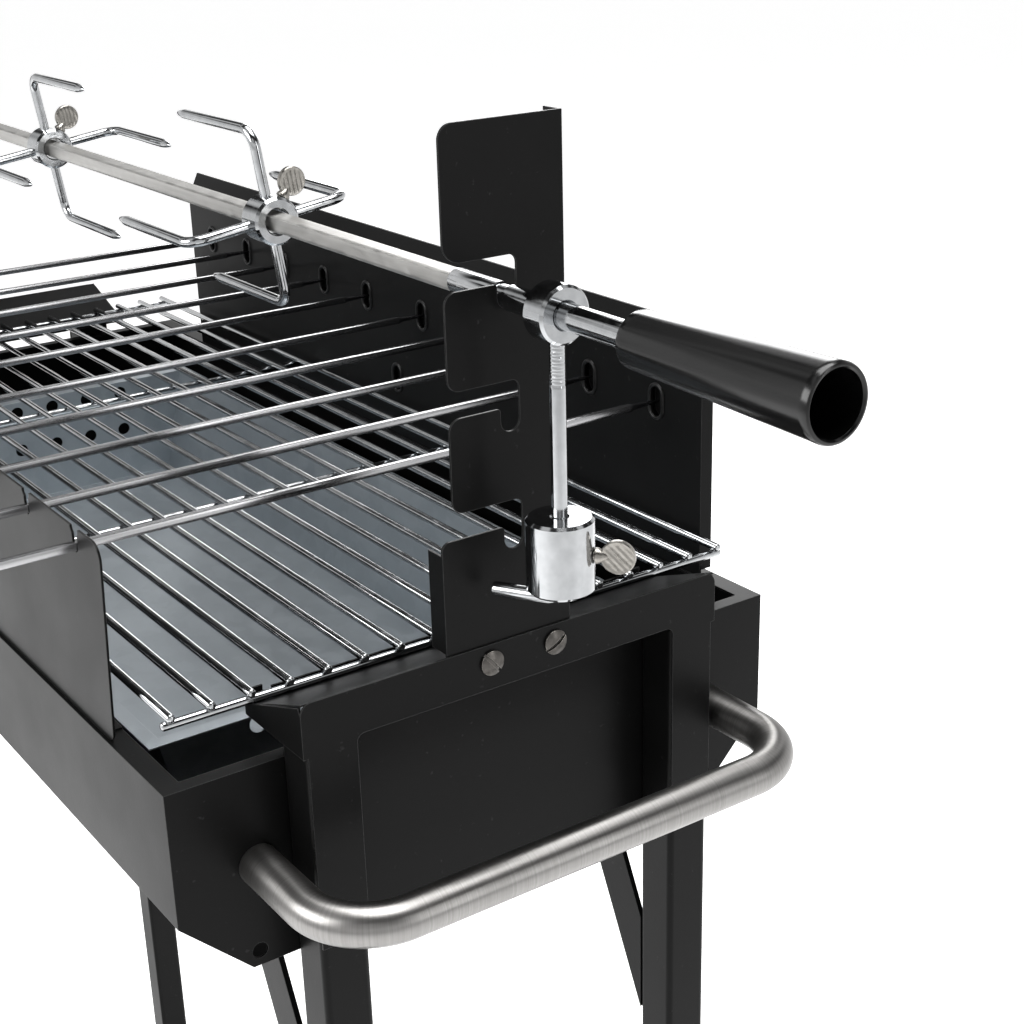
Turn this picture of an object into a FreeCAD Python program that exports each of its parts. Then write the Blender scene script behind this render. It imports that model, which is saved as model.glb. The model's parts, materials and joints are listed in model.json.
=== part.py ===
"""Charcoal barbecue with a motor-turned spit and a row of hand-turned skewers.

Millimetres, +Z up, +X towards the end that carries the spit's grip and the pushing handle,
+Y towards the wind panel. The origin is on the floor, under the middle of the whole object's box.
"""

import FreeCAD
import Part
import math
import os
import re
import Sketcher

# --- driving dimensions ------------------------------------------------------------------------

SIZES = {
    # firebox
    "box_long": (760.0, "firebox length"),
    "box_wide": (350.0, "firebox width"),
    "box_deep": (104.0, "firebox depth below its rim"),
    "rim_high": (880.0, "rim height above the floor"),
    "box_sheet": (1.2, "firebox sheet thickness"),
    "side_drop": (69.0, "straight part of the long walls"),
    "floor_inset": (35.0, "how far the sloping walls lead in"),
    "rim_fold": (11.0, "width of the rim folded inwards on the long walls"),
    "end_fold": (8.0, "width of the rim folded inwards on the end walls"),
    "vent_bore": (10.0, "diameter of the air holes in the firebox floor"),
    "end_bore": (8.0, "diameter of the drain holes in the firebox ends"),
    # legs and end frames
    "leg_size": (25.0, "outside of the square legs"),
    "leg_wall": (1.5, "wall of the square legs"),
    "leg_round": (3.0, "corner radius of the square legs"),
    "leg_inset": (58.5, "from a long wall to the outer face of a leg"),
    "leg_above": (11.0, "leg top above the rim"),
    "arch_sheet": (1.0, "sheet thickness of the end frames"),
    "arch_step": (2.4, "how far the top of an end frame stands out past the legs"),
    "arch_high": (37.0, "top of an end frame above the rim"),
    "arch_round": (6.0, "corner radius of an end frame's top"),
    "door_round": (4.0, "corner radius of an end frame's opening"),
    "arch_neck": (10.0, "height above the rim where the end frame widens"),
    "arch_drop": (90.0, "how far an end frame reaches below the rim"),
    "door_high": (14.0, "top of the opening in an end frame, above the rim"),
    "lip_reach": (30.0, "how far the sloping top reaches in over the firebox"),
    "lip_low": (14.5, "height of the sloping top's inner edge above the rim"),
    "lip_fold": (5.0, "upturned lip on the inner edge"),
    "lip_inset": (14.0, "the lip stops this far short of the sides"),
    "catch_wide": (5.0, "width of the grid's catch fingers on the lip"),
    "catch_high": (8.0, "height of the catch fingers"),
    "catch_inset": (6.9, "from the end frame's side to the middle of a catch finger"),
    "foot_high": (18.0, "height of a foot cap"),
    "foot_wall": (2.0, "wall of a foot cap"),
    "brace_wide": (28.0, "width of a brace along the firebox floor"),
    "brace_thick": (3.0, "thickness of a brace"),
    "brace_near": (32.0, "upper end of a brace, from the firebox end"),
    "brace_low": (127.0, "lower end of a brace, below the firebox floor"),
    # wheels
    "wheel_radius": (62.0, "outside radius of the tyres"),
    "tyre_thick": (14.0, "radial thickness of the tyres"),
    "wheel_wide": (28.0, "width of the tyres"),
    "web_thick": (8.0, "thickness of the wheel discs"),
    "hub_radius": (16.0, "radius of the wheel hubs"),
    "axle_radius": (5.0, "radius of the axle"),
    "axle_fit": (0.06, "radial running clearance on the axle"),
    "wheel_gap": (2.0, "from a leg to a wheel hub"),
    "cap_radius": (9.0, "radius of the axle's end caps"),
    "cap_thick": (4.0, "thickness of the axle's end caps"),
    "end_play": (0.36, "end play of the wheels and of other parts that don't touch"),
    # pushing handle
    "handle_radius": (10.0, "outside radius of the handle tube"),
    "handle_wall": (1.2, "wall of the handle tube"),
    "handle_reach": (78.0, "middle of the handle bar from the firebox end"),
    "handle_inset": (42.0, "from a long wall to the handle's end"),
    "handle_low": (50.0, "handle height below the rim"),
    "handle_bend": (34.0, "bend radius of the handle's middle line"),
    # front skewer panel and rear wind panel
    "panel_sheet": (1.2, "sheet thickness of both panels"),
    "front_high": (102.0, "height of the skewer panel"),
    "front_seat": (2.0, "from the long wall to the skewer panel"),
    "front_near": (48.0, "from the firebox end to the skewer panel's top corner"),
    "front_taper": (11.0, "how far the skewer panel narrows at its foot on each side"),
    "back_high": (122.0, "height of the wind panel's upright face"),
    "back_rise": (18.0, "rise of the wind panel's sloping top"),
    "back_lean": (8.8, "how far the sloping top leans back"),
    "back_near": (39.0, "from the firebox end to the wind panel"),
    "back_fold": (8.0, "width of the wind panel's side folds"),
    "back_lift": (4.0, "the side folds stop this far above the rim"),
    "panel_span": (636.0, "length of the wind panel"),
    "panel_fold": (9.0, "foot folded in at the bottom of each panel"),
    # skewers
    "skewer_size": (4.0, "side of the square skewers"),
    "skewer_high": (93.0, "skewer height above the rim"),
    "skewer_pitch": (61.0, "distance between skewers"),
    "skewer_gap": (71.6, "distance between the two middle skewers"),
    "skewer_fit": (0.25, "clearance round a turning skewer's corners"),
    "skewer_out": (62.0, "from the firebox to the middle of a skewer's ring"),
    "skewer_point": (12.0, "length of a skewer's point"),
    "ring_radius": (9.0, "middle radius of a skewer's ring"),
    "ring_wire": (1.8, "radius of a ring's wire"),
    "cup_wide": (11.0, "width of the cups that take the skewer points"),
    "cup_tall": (19.0, "height of those cups"),
    "cup_deep": (4.0, "depth of those cups"),
    "cup_low": (42.0, "height of the single lower cup"),
    # cooking grid
    "rod_radius": (2.2, "radius of the grid wires"),
    "rod_side": (15.0, "from a long wall to the outermost long grid wire"),
    "grid_inset": (22.0, "from the firebox end to the grid's end wire"),
    "grid_over": (4.0, "how far the long wires pass the end wires"),
    "grid_side": (11.0, "from a long wall to the ends of the grid's cross wires"),
    # charcoal pan
    "pan_inset": (79.0, "from the firebox end to the pan"),
    "pan_side": (26.0, "from a long wall to the pan's rim"),
    "pan_taper": (18.0, "how far the pan's long sides lead in"),
    "pan_high": (82.5, "height of the pan"),
    "pan_sheet": (1.0, "sheet thickness of the pan"),
    "pan_fold": (7.0, "width of the pan's rim"),
    "pan_bore": (10.0, "diameter of the air holes in the pan's ends"),
    "pan_pitch": (29.0, "distance between those holes"),
    "pan_row_top": (9.0, "upper row of holes below the pan's rim"),
    "pan_row_gap": (31.0, "from the upper row of holes to the lower one"),
    "pan_rest": (0.3, "gap between the pan and what it stands on"),
    # spit plates
    "spit_back": (172.0, "from the front wall to the spit's middle line"),
    "spit_high": (199.5, "spit's middle line above the rim"),
    "neck_radius": (5.15, "radius of the spit's turned necks"),
    "neck_fit": (0.05, "radial running clearance of a neck in its pocket"),
    "slot_pitch": (56.5, "distance between the spit heights"),
    "tooth_up": (6.2, "top of a tooth above its pocket's middle"),
    "mouth_up": (18.5, "roof of a slot above its pocket's middle"),
    "plate_front": (32.5, "from the spit's middle line to the plate's front edge"),
    "plate_back": (31.0, "from the spit's middle line to the plate's back edge"),
    "plate_head": (77.5, "from the spit's middle line to the plate's top"),
    "head_round": (7.0, "corner radius of the plate's top"),
    "plate_base": (39.0, "from the spit's middle line to the base's front edge"),
    "plate_sheet": (1.2, "sheet thickness of the spit plates"),
    "plate_fold": (11.0, "width of the spit plates' folded edges"),
    "plate_tuck": (19.0, "how far the spit plate reaches down behind the end frame"),
    "slit_gap": (0.2, "clearance of the end frame's slit round a spit plate"),
    "bolt_radius": (2.5, "radius of the plate screws"),
    "bolt_fit": (0.1, "radial clearance of the plate screws' holes"),
    "nut_radius": (4.5, "radius of the plate screws' nuts"),
    "nut_thick": (4.0, "thickness of those nuts"),
    "bolt_head": (6.2, "radius of the plate screws' heads"),
    "bolt_spread": (36.5, "distance between the two plate screws"),
    "bolt_low": (9.2, "plate screws below the top of the end frame"),
    # spit
    "bar_size": (8.5, "side of the square spit bar"),
    "bar_near": (13.0, "square bar's end, inside the firebox end"),
    "shaft_radius": (6.0, "radius of the round part of the spit"),
    "neck_long": (8.0, "length of a neck"),
    "turned_by": (8.0, "angle at which the spit stands, degrees"),
    "collar_radius": (13.0, "radius of the collar"),
    "collar_long": (14.0, "length of the collar"),
    "collar_out": (54.0, "from the firebox end to the collar"),
    "grip_out": (116.0, "from the firebox end to the grip"),
    "grip_long": (110.0, "length of the grip"),
    "grip_radius": (15.4, "radius of the grip at its open end"),
    "grip_neck": (12.4, "radius of the grip at its inner end"),
    "grip_wall": (2.5, "wall of the grip's open end"),
    "grip_hollow": (45.0, "depth of the hollow in the grip's end"),
    # counterweight
    "stem_radius": (3.5, "radius of the counterweight rod"),
    "stem_down": (131.0, "spit's middle line down to the rod's bent foot"),
    "stem_bend": (4.0, "bend radius of the rod's foot"),
    "stem_foot": (33.0, "length of the rod's bent foot"),
    "stem_turn": (212.0, "direction of the bent foot, degrees from +X"),
    "weight_radius": (15.5, "radius of the counterweight"),
    "weight_tall": (35.0, "height of the counterweight"),
    "weight_fit": (0.08, "radial clearance of the counterweight on its rod"),
    "screw_turn": (41.0, "direction of the counterweight's screw, degrees from +X"),
    # thumbscrews
    "screw_radius": (2.5, "radius of the thumbscrews"),
    "screw_fit": (0.05, "radial clearance of the thumbscrews in their threads"),
    "paddle_radius": (8.0, "radius of a thumbscrew's paddle"),
    "paddle_thick": (3.0, "thickness of a paddle"),
    "paddle_gap": (2.5, "from the held piece to the paddle"),
    # meat forks
    "fork_hub": (13.0, "radius of a fork's hub"),
    "hub_long": (18.0, "length of a fork's hub"),
    "prong_radius": (2.9, "radius of the prongs"),
    "prong_out": (48.0, "from the spit's middle line to a prong"),
    "prong_long": (92.0, "length of the prongs along the spit"),
    "prong_bend": (8.0, "bend radius of the prongs"),
    "prong_point": (9.0, "length of a prong's point"),
    "bore_fit": (0.09, "clearance of a fork's square bore on each side of the bar"),
    "fork_near": (197.0, "near fork, from the firebox end"),
    "fork_far": (518.0, "far fork, from the firebox end"),
    # spit motor
    "motor_long": (62.0, "motor housing along the spit"),
    "motor_wide": (96.0, "motor housing width"),
    "motor_tall": (118.0, "motor housing height"),
    "motor_wall": (2.5, "motor housing wall"),
    "motor_drop": (30.0, "top of the motor housing above the spit's middle line"),
    "hook_gap": (4.0, "from the far spit plate to the motor housing"),
    "socket_radius": (11.0, "radius of the drive socket"),
    "socket_long": (26.0, "length of the drive socket"),
    "lid_thick": (3.0, "thickness of the battery lid"),
    "lid_tall": (64.0, "height of the battery lid"),
    "lid_travel_gap": (0.3, "clearance round the battery lid"),
    "key_long": (14.0, "length of the motor's switch"),
}

doc = FreeCAD.newDocument("barbecue")
sheet = doc.addObject("Spreadsheet::Sheet", "dims")
for line, (alias, (value, note)) in enumerate(SIZES.items(), start=1):
    sheet.set("A%d" % line, note)
    sheet.set("B%d" % line, str(value))
    sheet.setAlias("B%d" % line, alias)
doc.recompute()

# Places along the length (X), across (Y) and up (Z), as formulas on the sheet's cells.
FAR_REACH = "(leg_size + arch_sheet + hook_gap + motor_long + lid_thick)"
NEAR_REACH = "(grip_out + grip_long)"
NEAR = "(box_long / 2 + (%s - %s) / 2)" % (FAR_REACH, NEAR_REACH)
FAR = "(%s - box_long)" % NEAR
MIDDLE = "(%s - box_long / 2)" % NEAR
RING_REACH = "(skewer_out + ring_radius + ring_wire)"
FRONT = "((%s - box_wide) / 2)" % RING_REACH
BACK = "(%s + box_wide)" % FRONT
SPIT_Y = "(%s + spit_back)" % FRONT
SPIT_Z = "(rim_high + spit_high)"
PANEL_MIDDLE = "(%s - back_near - panel_span / 2)" % NEAR
WORD = re.compile(r"[a-z_]*[a-z]")


def formula(text):
    """The same formula with every size written as a cell of the sheet."""
    return WORD.sub(lambda found: "dims." + found[0] if found[0] in SIZES else found[0], str(text))


def bind(piece, **sizes):
    """Tie properties of a piece to formulas."""
    for name, text in sizes.items():
        piece.setExpression(name, formula(text))
    return piece


def place(piece, x="0", y="0", z="0", axis=None, angle=0.0):
    """Put a piece at a place given by formulas, turned about an axis by degrees or a formula."""
    if axis is not None:
        turn = FreeCAD.Rotation(FreeCAD.Vector(*axis), 0.0 if isinstance(angle, str) else angle)
        piece.Placement = FreeCAD.Placement(FreeCAD.Vector(), turn)
        if isinstance(angle, str):
            piece.setExpression("Placement.Rotation.Axis.x", str(axis[0]))
            piece.setExpression("Placement.Rotation.Axis.y", str(axis[1]))
            piece.setExpression("Placement.Rotation.Axis.z", str(axis[2]))
            piece.setExpression("Placement.Rotation.Angle", formula(angle))
    for letter, text in (("x", x), ("y", y), ("z", z)):
        piece.setExpression("Placement.Base." + letter, formula(text))
    return piece


def block(name, long, wide, tall, x="0", y="0", z="0"):
    """A box by its lowest corner."""
    return place(bind(doc.addObject("Part::Box", name), Length=long, Width=wide, Height=tall), x, y, z)


def rod(name, radius, long, x="0", y="0", z="0", along="z"):
    """A round bar from a point along one axis."""
    piece = bind(doc.addObject("Part::Cylinder", name), Radius=radius, Height=long)
    axis, angle = {"x": ((0, 1, 0), 90), "y": ((1, 0, 0), -90), "z": ((0, 0, 1), 0)}[along]
    return place(piece, x, y, z, axis, angle)


def cone(name, start, end, long, x="0", y="0", z="0", along="z", back=False):
    """A tapered round bar from a point along one axis, or backwards along it."""
    piece = bind(doc.addObject("Part::Cone", name), Radius1=start, Radius2=end, Height=long)
    axis, angle = {"x": ((0, 1, 0), 90), "y": ((1, 0, 0), -90), "z": ((0, 0, 1), 0)}[along]
    return place(piece, x, y, z, axis, angle - 180 if back else angle)


def elbow(name, bend, radius, x, y, z, turn):
    """A quarter of a ring, its middle at a point, turned by a FreeCAD rotation."""
    piece = bind(doc.addObject("Part::Torus", name), Radius1=bend, Radius2=radius)
    piece.Angle3 = 90
    piece.Placement = FreeCAD.Placement(FreeCAD.Vector(), turn)
    return place(piece, x, y, z)


def join(name, pieces):
    """Several pieces made one."""
    piece = doc.addObject("Part::MultiFuse", name)
    piece.Shapes = pieces
    piece.Refine = True
    return piece


def cut(name, base, tools):
    """A piece with others taken out of it."""
    piece = doc.addObject("Part::Cut", name)
    piece.Base = base
    piece.Tool = tools[0] if len(tools) == 1 else join(name + "_tools", tools)
    piece.Refine = True
    return piece


def group(name, pieces):
    """Several separate solids kept together."""
    piece = doc.addObject("Part::Compound", name)
    piece.Links = pieces
    return piece


def mirrored(name, source):
    """The same piece at the other end of the firebox."""
    piece = doc.addObject("Part::Mirroring", name)
    piece.Source = source
    piece.Normal = FreeCAD.Vector(1, 0, 0)
    piece.setExpression("Base.x", formula(MIDDLE))
    return piece


def slab(name, plane, corners, thick, x="0", y="0", z="0"):
    """A flat plate: a polygon of (across, up, radius) corners, padded along +X, +Y or +Z.

    plane is YZ, XZ or XY. Corners with a radius are rounded after the pad.
    """
    body = doc.addObject("PartDesign::Body", name)
    origin = [f for f in body.Origin.OriginFeatures if f.Role == plane + "_Plane"][0]
    sketch = body.newObject("Sketcher::SketchObject", name + "_outline")
    sketch.AttachmentSupport = (origin, [""])
    sketch.MapMode = "FlatFace"
    count = len(corners)
    angles = [2 * math.pi * i / count for i in range(count)]
    ring = [FreeCAD.Vector(100 * math.cos(a), 100 * math.sin(a), 0) for a in angles]
    for i in range(count):
        sketch.addGeometry(Part.LineSegment(ring[i], ring[(i + 1) % count]), False)
    for i in range(count):
        sketch.addConstraint(Sketcher.Constraint("Coincident", i, 2, (i + 1) % count, 1))
    for i, corner in enumerate(corners):
        for kind, text, start in (("DistanceX", corner[0], ring[i].x), ("DistanceY", corner[1], ring[i].y)):
            at = sketch.addConstraint(Sketcher.Constraint(kind, -1, 1, i, 1, start))
            sketch.setExpression("Constraints[%d]" % at, formula(text))
    pad = body.newObject("PartDesign::Pad", name + "_pad")
    pad.Profile = sketch
    pad.Reversed = plane == "XZ"
    bind(pad, Length=thick)
    doc.recompute()
    rounds = {}
    for i, corner in enumerate(corners):
        if len(corner) == 3:
            spot = sketch.Placement.multVec(sketch.Geometry[i].StartPoint)
            rounds.setdefault(corner[2], []).append(spot)
    for number, (radius, spots) in enumerate(rounds.items()):
        edges = []
        before = body.Tip
        for index, edge in enumerate(before.Shape.Edges, start=1):
            upright = abs(edge.Length - pad.Length.Value) < 1e-6
            if upright and any(near_axis(edge.CenterOfMass, spot, plane) for spot in spots):
                edges.append("Edge%d" % index)
        fillet = body.newObject("PartDesign::Fillet", "%s_round_%d" % (name, number))
        fillet.Base = (before, edges)
        bind(fillet, Radius=radius)
        doc.recompute()
    return place(body, x, y, z)


def near_axis(point, spot, plane):
    """Whether a point lies over a corner of an outline, looking along the pad."""
    away = point - spot
    drop = {"YZ": FreeCAD.Vector(0, away.y, away.z), "XZ": FreeCAD.Vector(away.x, 0, away.z),
            "XY": FreeCAD.Vector(away.x, away.y, 0)}[plane]
    return drop.Length < 1e-4


# --- firebox -----------------------------------------------------------------------------------

SLOPE = "sqrt(floor_inset ^ 2 + (box_deep - side_drop) ^ 2)"
SLOPE_RUN = "(box_deep - side_drop - box_sheet + box_sheet * floor_inset / %s)" % SLOPE
INNER_TURN_Z = ("(-side_drop + box_sheet * floor_inset / %s - (box_deep - side_drop) * box_sheet"
                " * (1 - (box_deep - side_drop) / %s) / floor_inset)" % (SLOPE, SLOPE))
INNER_TURN_Y = ("(box_sheet * (box_deep - side_drop) / %s + floor_inset * %s / (box_deep - side_drop))"
                % (SLOPE, SLOPE_RUN))


def trough(name, side, turn_y, turn_z, floor, top, long, x):
    """The firebox's cross-section, padded along its length."""
    half = [(side, top), (side, turn_z), (turn_y, floor)]
    far_half = [("box_wide - %s" % y, z) for y, z in reversed(half)]
    return slab(name, "YZ", half + far_half, long, x, FRONT, "rim_high")


shell = trough("firebox_outside", "0", "floor_inset", "-side_drop", "-box_deep", "0", "box_long", FAR)
hollow = trough("firebox_inside", "box_sheet", INNER_TURN_Y, INNER_TURN_Z, "box_sheet - box_deep",
                "-box_sheet", "box_long - 2 * box_sheet", FAR + " + box_sheet")
mouth = block("firebox_mouth", "box_long - 2 * end_fold", "box_wide - 2 * rim_fold", "2 * box_sheet",
              FAR + " + end_fold", FRONT + " + rim_fold", "rim_high - 1.5 * box_sheet")
vents = [rod("firebox_vent_%d_%d" % (i, j), "vent_bore / 2", "3 * box_sheet",
             "%s + box_long * %d / 8" % (FAR, i), "%s + box_wide * %d / 10" % (FRONT, j),
             "rim_high - box_deep - box_sheet")
         for i in range(1, 8) for j in (3, 7)]
DRAIN_PLACES = (FRONT + " + floor_inset + end_bore / 2", BACK + " - floor_inset - end_bore / 2")
drains = [rod("firebox_drain_%d" % number, "end_bore / 2", "box_long + 2 * box_sheet",
              FAR + " - box_sheet", y, "rim_high - box_deep + end_bore", "x")
          for number, y in enumerate(DRAIN_PLACES)]
firebox = cut("firebox", shell, [hollow, mouth] + vents + drains)

# --- charcoal pan ------------------------------------------------------------------------------

PAN_LONG = "(box_long - 2 * pan_inset)"
PAN_FOOT = "(rim_high - box_deep + box_sheet + pan_rest)"
PAN_EDGE = "(pan_side + pan_fold)"


def tray(name, grow, foot, top, long, x):
    """The pan's cross-section, its long sides leaning in, padded along its length."""
    side = "%s + %s" % (PAN_EDGE, grow)
    return slab(name, "YZ", [(side, top), (side + " + pan_taper", foot),
                             ("box_wide - (%s + pan_taper)" % side, foot),
                             ("box_wide - (%s)" % side, top)], long, x, FRONT, PAN_FOOT)


pan_outside = tray("pan_outside", "0", "0", "pan_high", PAN_LONG + " - 2 * pan_fold",
                   FAR + " + pan_inset + pan_fold")
pan_rim = block("pan_rim", PAN_LONG, "box_wide - 2 * pan_side", "pan_sheet", FAR + " + pan_inset",
                FRONT + " + pan_side", PAN_FOOT + " + pan_high - pan_sheet")
pan_inside = tray("pan_inside", "pan_sheet", "pan_sheet", "pan_high + pan_sheet",
                  PAN_LONG + " - 2 * pan_fold - 2 * pan_sheet",
                  FAR + " + pan_inset + pan_fold + pan_sheet")
pan_vents = [rod("pan_vent_%d_%d" % (row, j + 3), "pan_bore / 2", PAN_LONG + " + 2 * pan_sheet",
                 FAR + " + pan_inset - pan_sheet", "%s + box_wide / 2 + %d * pan_pitch" % (FRONT, j),
                 "%s + pan_high - pan_row_top - %d * pan_row_gap" % (PAN_FOOT, row), along="x")
             for row in (0, 1) for j in range(-3, 4)]
charcoal_pan = cut("charcoal_pan", join("pan_folded", [pan_outside, pan_rim]),
                   [pan_inside] + pan_vents)

# --- end frames --------------------------------------------------------------------------------

LEG_OUT = "leg_inset"
LEG_IN = "(leg_inset + leg_size)"
STEP = "(leg_inset - arch_step)"
LIP_RUN = "(lip_reach + leg_size + arch_sheet)"
LIP_RISE = "(arch_high - lip_low - arch_sheet)"
arch_plate = slab("arch_plate", "YZ", [
    (LEG_OUT, "-arch_drop"), (LEG_OUT, "arch_neck"), (STEP, "arch_neck"),
    (STEP, "arch_high", "arch_round"), ("box_wide - " + STEP, "arch_high", "arch_round"),
    ("box_wide - " + STEP, "arch_neck"), ("box_wide - " + LEG_OUT, "arch_neck"),
    ("box_wide - " + LEG_OUT, "-arch_drop"), ("box_wide - " + LEG_IN, "-arch_drop"),
    ("box_wide - " + LEG_IN, "door_high", "door_round"), (LEG_IN, "door_high", "door_round"),
    (LEG_IN, "-arch_drop")], "arch_sheet", NEAR + " + leg_size", FRONT, "rim_high")
ARCH_WIDE = "(box_wide - 2 * %s)" % STEP
lip_slope = slab("lip_slope", "XZ", [
    ("leg_size + arch_sheet / 2", "arch_high - arch_sheet"), ("leg_size + arch_sheet / 2", "arch_high"),
    ("-lip_reach", "lip_low + arch_sheet"), ("-lip_reach", "lip_low")],
    ARCH_WIDE + " - 2 * arch_sheet", NEAR, "%s + %s + arch_sheet" % (FRONT, STEP), "rim_high")
lip_sides = [slab("lip_side_%d" % side, "XZ", [
    ("leg_size + arch_sheet / 2", "arch_neck"), ("leg_size + arch_sheet / 2", "arch_high - arch_round"),
    ("leg_size - arch_sheet", "arch_high - 2 * arch_sheet"),
    ("-lip_reach", "lip_low + arch_sheet"), ("-lip_reach", "arch_neck")],
    "arch_sheet", NEAR, "%s + %s" % (FRONT, edge), "rim_high")
    for side, edge in enumerate((STEP, "box_wide - %s - arch_sheet" % STEP))]
lip_edge = block("lip_edge", "arch_sheet", ARCH_WIDE + " - 2 * lip_inset", "lip_fold + arch_sheet",
                 NEAR + " - lip_reach - arch_sheet / 2", "%s + %s + lip_inset" % (FRONT, STEP),
                 "rim_high + lip_low")
lip_catches = [block("lip_catch_%d" % side, "arch_sheet", "catch_wide", "catch_high",
                     NEAR + " - lip_reach - arch_sheet / 2",
                     "%s + box_wide / 2 + %d * (%s / 2 - catch_inset) - catch_wide / 2"
                     % (FRONT, side, ARCH_WIDE), "rim_high + lip_low") for side in (-1, 1)]
plate_slit = block("plate_slit", "plate_sheet + slit_gap", "plate_base + plate_back + 2 * slit_gap",
                   "arch_high", NEAR + " + leg_size - plate_sheet - slit_gap",
                   SPIT_Y + " - plate_base - slit_gap", "rim_high + arch_neck")
BOLT_Z = "rim_high + arch_high - bolt_low"


def bolt_y(side):
    """Where a plate screw stands: side is -1 or 1."""
    return "%s + box_wide / 2 + %d * bolt_spread / 2" % (FRONT, side)


bolt_holes = [rod("bolt_hole_%d" % side, "bolt_radius + bolt_fit", "4 * plate_sheet",
                  NEAR + " + leg_size - 2 * plate_sheet", bolt_y(side), BOLT_Z, "x")
              for side in (-1, 1)]
arch_folded = join("arch_folded", [arch_plate, lip_slope, lip_edge] + lip_sides + lip_catches)
end_frame_near = cut("end_frame_near", arch_folded, [plate_slit] + bolt_holes)
end_frame_far = mirrored("end_frame_far", end_frame_near)

# --- legs, feet and braces ---------------------------------------------------------------------

AXLE_Z = "wheel_radius"
FAR_LEG_FOOT = "(wheel_radius - hub_radius)"


def leg(name, x, y, foot):
    """A square tube standing on foot and reaching up beside the firebox's end."""
    tall = "rim_high + leg_above - (%s)" % foot
    outside = slab(name + "_outside", "XY", [("0", "0", "leg_round"), ("leg_size", "0", "leg_round"),
                                             ("leg_size", "leg_size", "leg_round"),
                                             ("0", "leg_size", "leg_round")], tall, x, y, foot)
    inside = block(name + "_inside", "leg_size - 2 * leg_wall", "leg_size - 2 * leg_wall",
                   tall + " + 2", x + " + leg_wall", y + " + leg_wall", foot + " - 1")
    return cut(name, outside, [inside])


FRONT_LEG_Y = FRONT + " + leg_inset"
BACK_LEG_Y = BACK + " - leg_inset - leg_size"
leg_near_front = leg("leg_near_front", NEAR, FRONT_LEG_Y, "leg_wall")
leg_near_back = leg("leg_near_back", NEAR, BACK_LEG_Y, "leg_wall")
axle_hole = rod("axle_hole", "axle_radius", "box_wide", FAR + " - leg_size / 2", FRONT, AXLE_Z, along="y")
far_front_tube = leg("far_front_tube", FAR + " - leg_size", FRONT_LEG_Y, FAR_LEG_FOOT)
leg_far_front = cut("leg_far_front", far_front_tube, [axle_hole])
far_back_tube = leg("far_back_tube", FAR + " - leg_size", BACK_LEG_Y, FAR_LEG_FOOT)
leg_far_back = cut("leg_far_back", far_back_tube, [axle_hole])


def foot_cap(name, y):
    """A cup pushed over a leg's end."""
    cup = slab(name + "_outside", "XY", [(a, b, "leg_round") for a, b in (
        ("-foot_wall", "-foot_wall"), ("leg_size + foot_wall", "-foot_wall"),
        ("leg_size + foot_wall", "leg_size + foot_wall"), ("-foot_wall", "leg_size + foot_wall"))],
        "foot_high", NEAR, y, "0")
    pocket = slab(name + "_pocket", "XY", [(a, b, "leg_round") for a, b in (
        ("0", "0"), ("leg_size", "0"), ("leg_size", "leg_size"), ("0", "leg_size"))],
        "foot_high", NEAR, y, "leg_wall")
    return cut(name, cup, [pocket])


foot_caps = group("foot_caps", [foot_cap("foot_front", FRONT_LEG_Y), foot_cap("foot_back", BACK_LEG_Y)])


def brace(name, y):
    """A flat bar from the firebox floor down to a leg at the near end."""
    return slab(name, "XZ", [("-brace_near", "0"), ("-brace_near - brace_wide", "0"), ("0", "-brace_low"),
                             ("0", "-brace_low * brace_near / (brace_near + brace_wide)")],
                "brace_thick", NEAR, y, "rim_high - box_deep")


brace_near_front = brace("brace_near_front", FRONT_LEG_Y)
brace_near_back = brace("brace_near_back", BACK_LEG_Y)
brace_far_front = mirrored("brace_far_front", brace_near_front)
brace_far_back = mirrored("brace_far_back", brace_near_back)

# --- axle and wheels ---------------------------------------------------------------------------

AXLE_X = FAR + " - leg_size / 2"
WHEEL_FRONT_Y = FRONT + " + leg_inset - wheel_gap - wheel_wide"
WHEEL_BACK_Y = BACK + " - leg_inset + wheel_gap"
AXLE_FRONT_Y = WHEEL_FRONT_Y + " - end_play"
axle = rod("axle", "axle_radius", "box_wide - 2 * (leg_inset - wheel_gap - wheel_wide - end_play)",
           AXLE_X, AXLE_FRONT_Y, AXLE_Z, "y")
axle_caps = group("axle_caps", [
    rod("axle_cap_front", "cap_radius", "cap_thick", AXLE_X, AXLE_FRONT_Y + " - cap_thick", AXLE_Z, "y"),
    rod("axle_cap_back", "cap_radius", "cap_thick", AXLE_X, WHEEL_BACK_Y + " + wheel_wide + end_play",
        AXLE_Z, "y")])
RIM_RADIUS = "(wheel_radius - tyre_thick)"


def wheel(side, y):
    """A moulded wheel with its tyre: two pieces that turn together."""
    def turned(name, radius, wide="wheel_wide", inset="0"):
        return rod(name + side, radius, wide, AXLE_X, "%s + %s" % (y, inset), AXLE_Z, "y")

    def through(name, radius):
        return turned(name, radius, "wheel_wide + 2", "-1")

    rim = cut("rim_" + side, turned("rim_disc_", RIM_RADIUS),
              [through("rim_hollow_", RIM_RADIUS + " - web_thick / 2")])
    web = turned("web_", RIM_RADIUS + " - web_thick / 4", "web_thick", "(wheel_wide - web_thick) / 2")
    solid = join("wheel_solid_" + side, [rim, web, turned("hub_", "hub_radius")])
    disc = cut("wheel_" + side, solid, [through("wheel_bore_", "axle_radius + axle_fit")])
    tyre = cut("tyre_" + side, turned("tyre_solid_", "wheel_radius"), [through("tyre_bore_", RIM_RADIUS)])
    return disc, tyre


wheel_front, tyre_front = wheel("front", WHEEL_FRONT_Y)
wheel_back, tyre_back = wheel("back", WHEEL_BACK_Y)

# --- pushing handle ----------------------------------------------------------------------------

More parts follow.
